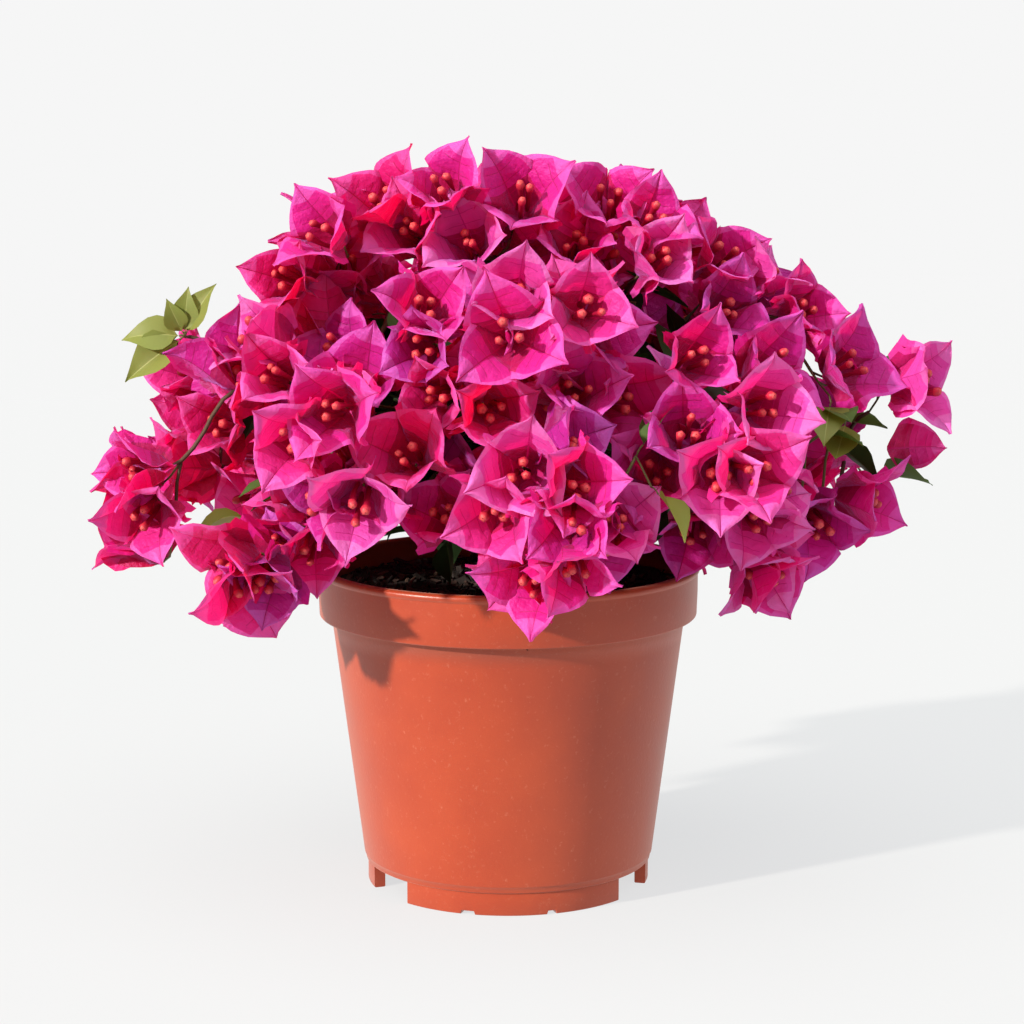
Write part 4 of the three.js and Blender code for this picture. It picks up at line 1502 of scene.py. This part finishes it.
# %% Leaves in place
count = len(leaf_feet)
leaf = {
    "foot": np.array(leaf_feet),
    "along": np.array(leaf_along),
    "up": np.array(leaf_up),
    "length": np.array(leaf_long),
    "width": np.array(leaf_long) * rng.uniform(0.29, 0.36, count),
    "droop": rng.normal(0.35, 0.3, count),
    "fold": np.radians(rng.uniform(6, 30, count)),
    "phase": rng.uniform(0, 6.28, count),
}
leaf_grids = leaf_points(leaf)
for number, name in enumerate(LEAF):
    mine = leaf_grids[np.array(leaf_tint) == number]
    points, faces, picks = joined(mine, LEAF_FACES, LEAF_PICKS)
    places = atlas(len(mine), len(LEAF_RUN), LEAF_COLUMNS)
    piece("leaves_" + name, points, faces, LEAF[name], picks, places=places)
print("leaves:", count, "in", 2 * count * len(LEAF_FACES), "triangles")

# %% [markdown]
# With every bloom and leaf in place, the twigs are given their thickness. A twig that feeds many blooms
# is thicker and has turned brown and corky, while one that feeds a single bloom is thin and still green.
# Each twig is a five-sided tube, since it is rarely more than 3 mm thick.

# %% Twigs and stalks
TWIG_BARK = [waxy("green_twig", "#5A5A30", 0.6), waxy("brown_twig", "#4A3626", 0.7)]
TIP_WIDE = 0.55 * MM
MOST_WIDE = 3.2 * MM
BROWN_FROM = 0.8 * MM  # a twig thicker than this is brown
STALK_WIDE = 0.45 * MM
parts, picks = [], []
for chain in chains:
    line = np.array([wood.points[i] for i in chain])
    load = np.array([max(wood.load[i], 1) for i in chain], dtype=float)
    load[0] = load[1]
    widths = np.minimum(TIP_WIDE * load**0.42, MOST_WIDE)
    points, faces = tube(line, widths, 5)
    parts.append((points, faces))
    picks += [int(widths.max() > BROWN_FROM)] * len(faces)
for line in stalks:
    points, faces = tube(line, np.full(len(line), STALK_WIDE), 4)
    parts.append((points, faces))
    picks += [0] * len(faces)
points, faces = together(parts)
twigs = piece("twigs", points, faces, TWIG_BARK, picks)
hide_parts(*LONG_TWIGS)
print("twigs:", len(faces), "faces")

# %% [markdown]
# The pot is filled to a finger below its rim with dark potting compost: shredded bark and coir, moist, with
# chips a few millimetres across. One noise darkens the colour and lowers the surface together, so the
# hollows come out darker. The chips share the finish in three browner tones.

# %% Compost finish
CRUMB_SCALE = 400  # crumbs about 2.5 mm across


def moist_compost(name, shade, roughness):
    """Dark crumbs whose hollows are darker still."""
    material, tree = finish(name)
    place = add(tree, "ShaderNodeTexCoord").outputs["Object"]
    grit = {"Vector": place, "Scale": CRUMB_SCALE, "Detail": 4, "Roughness": 0.7}
    crumbs = add(tree, "ShaderNodeTexNoise", grit)
    dark = tuple(c * 0.35 for c in colour(shade)[:3]) + (1,)
    tints = {0: crumbs.outputs["Fac"], 6: dark, 7: colour(shade)}
    tint = add(tree, "ShaderNodeMix", tints, data_type="RGBA")
    bumps = {"Height": crumbs.outputs["Fac"], "Strength": 0.6, "Distance": 1 * MM}
    relief = add(tree, "ShaderNodeBump", bumps)
    sockets = {"Base Color": tint.outputs[2], "Roughness": roughness, "Normal": relief.outputs[0]}
    show(tree, add(tree, "ShaderNodeBsdfPrincipled", sockets))
    return material


COMPOST = moist_compost("moist_compost", "#20150F", 0.9)
print("compost finish:", COMPOST.name)

# %% [markdown]
# The bed is a turned slab whose top is lifted into lumps of three sizes, from heaps a few centimetres
# across down to crumbs, because a flat bed would look poured.

# %% Compost bed
SOIL_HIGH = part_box("soil")[1]
SOIL_WIDE = SOIL_HIGH.x
soil_top = SOIL_HIGH.z - 1.5 * MM
LUMPS = ((2.0, 60), (1.3, 190), (0.8, 420))  # mm high, and how many to a metre
rings = np.linspace(0.04, 1, 46)
profile = [(0.004, FOOT_TOP + 4 * MM), (BODY_FOOT - WALL - 2 * MM, FOOT_TOP + 4 * MM)]
profile += [(SOIL_WIDE * r, soil_top) for r in rings[::-1]]
points, faces = turned(profile, 150)
for i, point in enumerate(points):
    if point[2] > soil_top - 1e-6:
        place = Vector(point)
        lift = sum(high * noise.noise(place * scale) for high, scale in LUMPS)
        points[i][2] += lift * MM
bed = piece("compost_bed", points, faces, [COMPOST])
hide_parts("soil")
print("compost bed:", len(bed.data.polygons), "faces")

# %% [markdown]
# Chips of bark lie strewn over the bed, each a small block with its corners pulled out of true and turned
# its own way. They could be grown by a scatter, but that is lost when the piece is handed on, so the
# chips are plain meshes, worked out as one array like the bracts.

# %% Bark chips
CORNERS = [(-1, -1), (1, -1), (1, 1), (-1, 1)]
CHIP = np.array([(x, y, z) for z in (-1, 1) for x, y in CORNERS])
CHIP_FACES = np.array([(0, 3, 2, 1), (4, 5, 6, 7), (0, 1, 5, 4), (1, 2, 6, 5), (2, 3, 7, 6), (3, 0, 4, 7)])
CHIPS = 900
around, out = rng.uniform(0, 2 * math.pi, CHIPS), np.sqrt(rng.random(CHIPS)) * (SOIL_WIDE - 5 * MM)
height = soil_top + rng.normal(1.2, 0.8, CHIPS) * MM
place = np.stack([np.cos(around) * out, np.sin(around) * out, height], 1)
CHIP_SIZES = ((1, 4.2), (0.6, 1.8), (0.3, 0.9))  # mm, half the length, width and thickness, from and to
half = np.stack([rng.uniform(*span, CHIPS) for span in CHIP_SIZES], 1) * MM
turns = rng.normal(0, 1, (CHIPS, 4))
turns[:, 1:3] *= 0.35  # most chips lie nearly flat
turns = unit(turns)
w, x, y, z = turns.T
rotation = np.stack(
    [
        np.stack([1 - 2 * (y * y + z * z), 2 * (x * y - z * w), 2 * (x * z + y * w)], 1),
        np.stack([2 * (x * y + z * w), 1 - 2 * (x * x + z * z), 2 * (y * z - x * w)], 1),
        np.stack([2 * (x * z - y * w), 2 * (y * z + x * w), 1 - 2 * (x * x + y * y)], 1),
    ],
    1,
)
shapes = CHIP[None] * rng.uniform(0.6, 1.1, (CHIPS, 8, 3)) * half[:, None]
chips = np.einsum("nij,nkj->nki", rotation, shapes) + place[:, None]
points, faces, picks = joined(chips, CHIP_FACES, np.zeros(6, dtype=int))
picks = np.repeat(rng.choice(3, CHIPS, p=(0.6, 0.28, 0.12)), 6)
tones = [("#241812", 0.8), ("#3A2218", 0.8), ("#584030", 0.85)]
chip_finishes = [moist_compost(f"bark_chip_{i + 1}", *tone) for i, tone in enumerate(tones)]
chips = piece("compost_chips", points, faces, chip_finishes, picks, smooth=False)
print("bark chips:", CHIPS)

# %% [markdown]
# Last, the box of the frame and the box of what was built round it are put side by side in one table.

# %% Finish
boxes = {"cad": [list(c) for c in CAD_BOX], "visual": [list(c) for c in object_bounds()]}
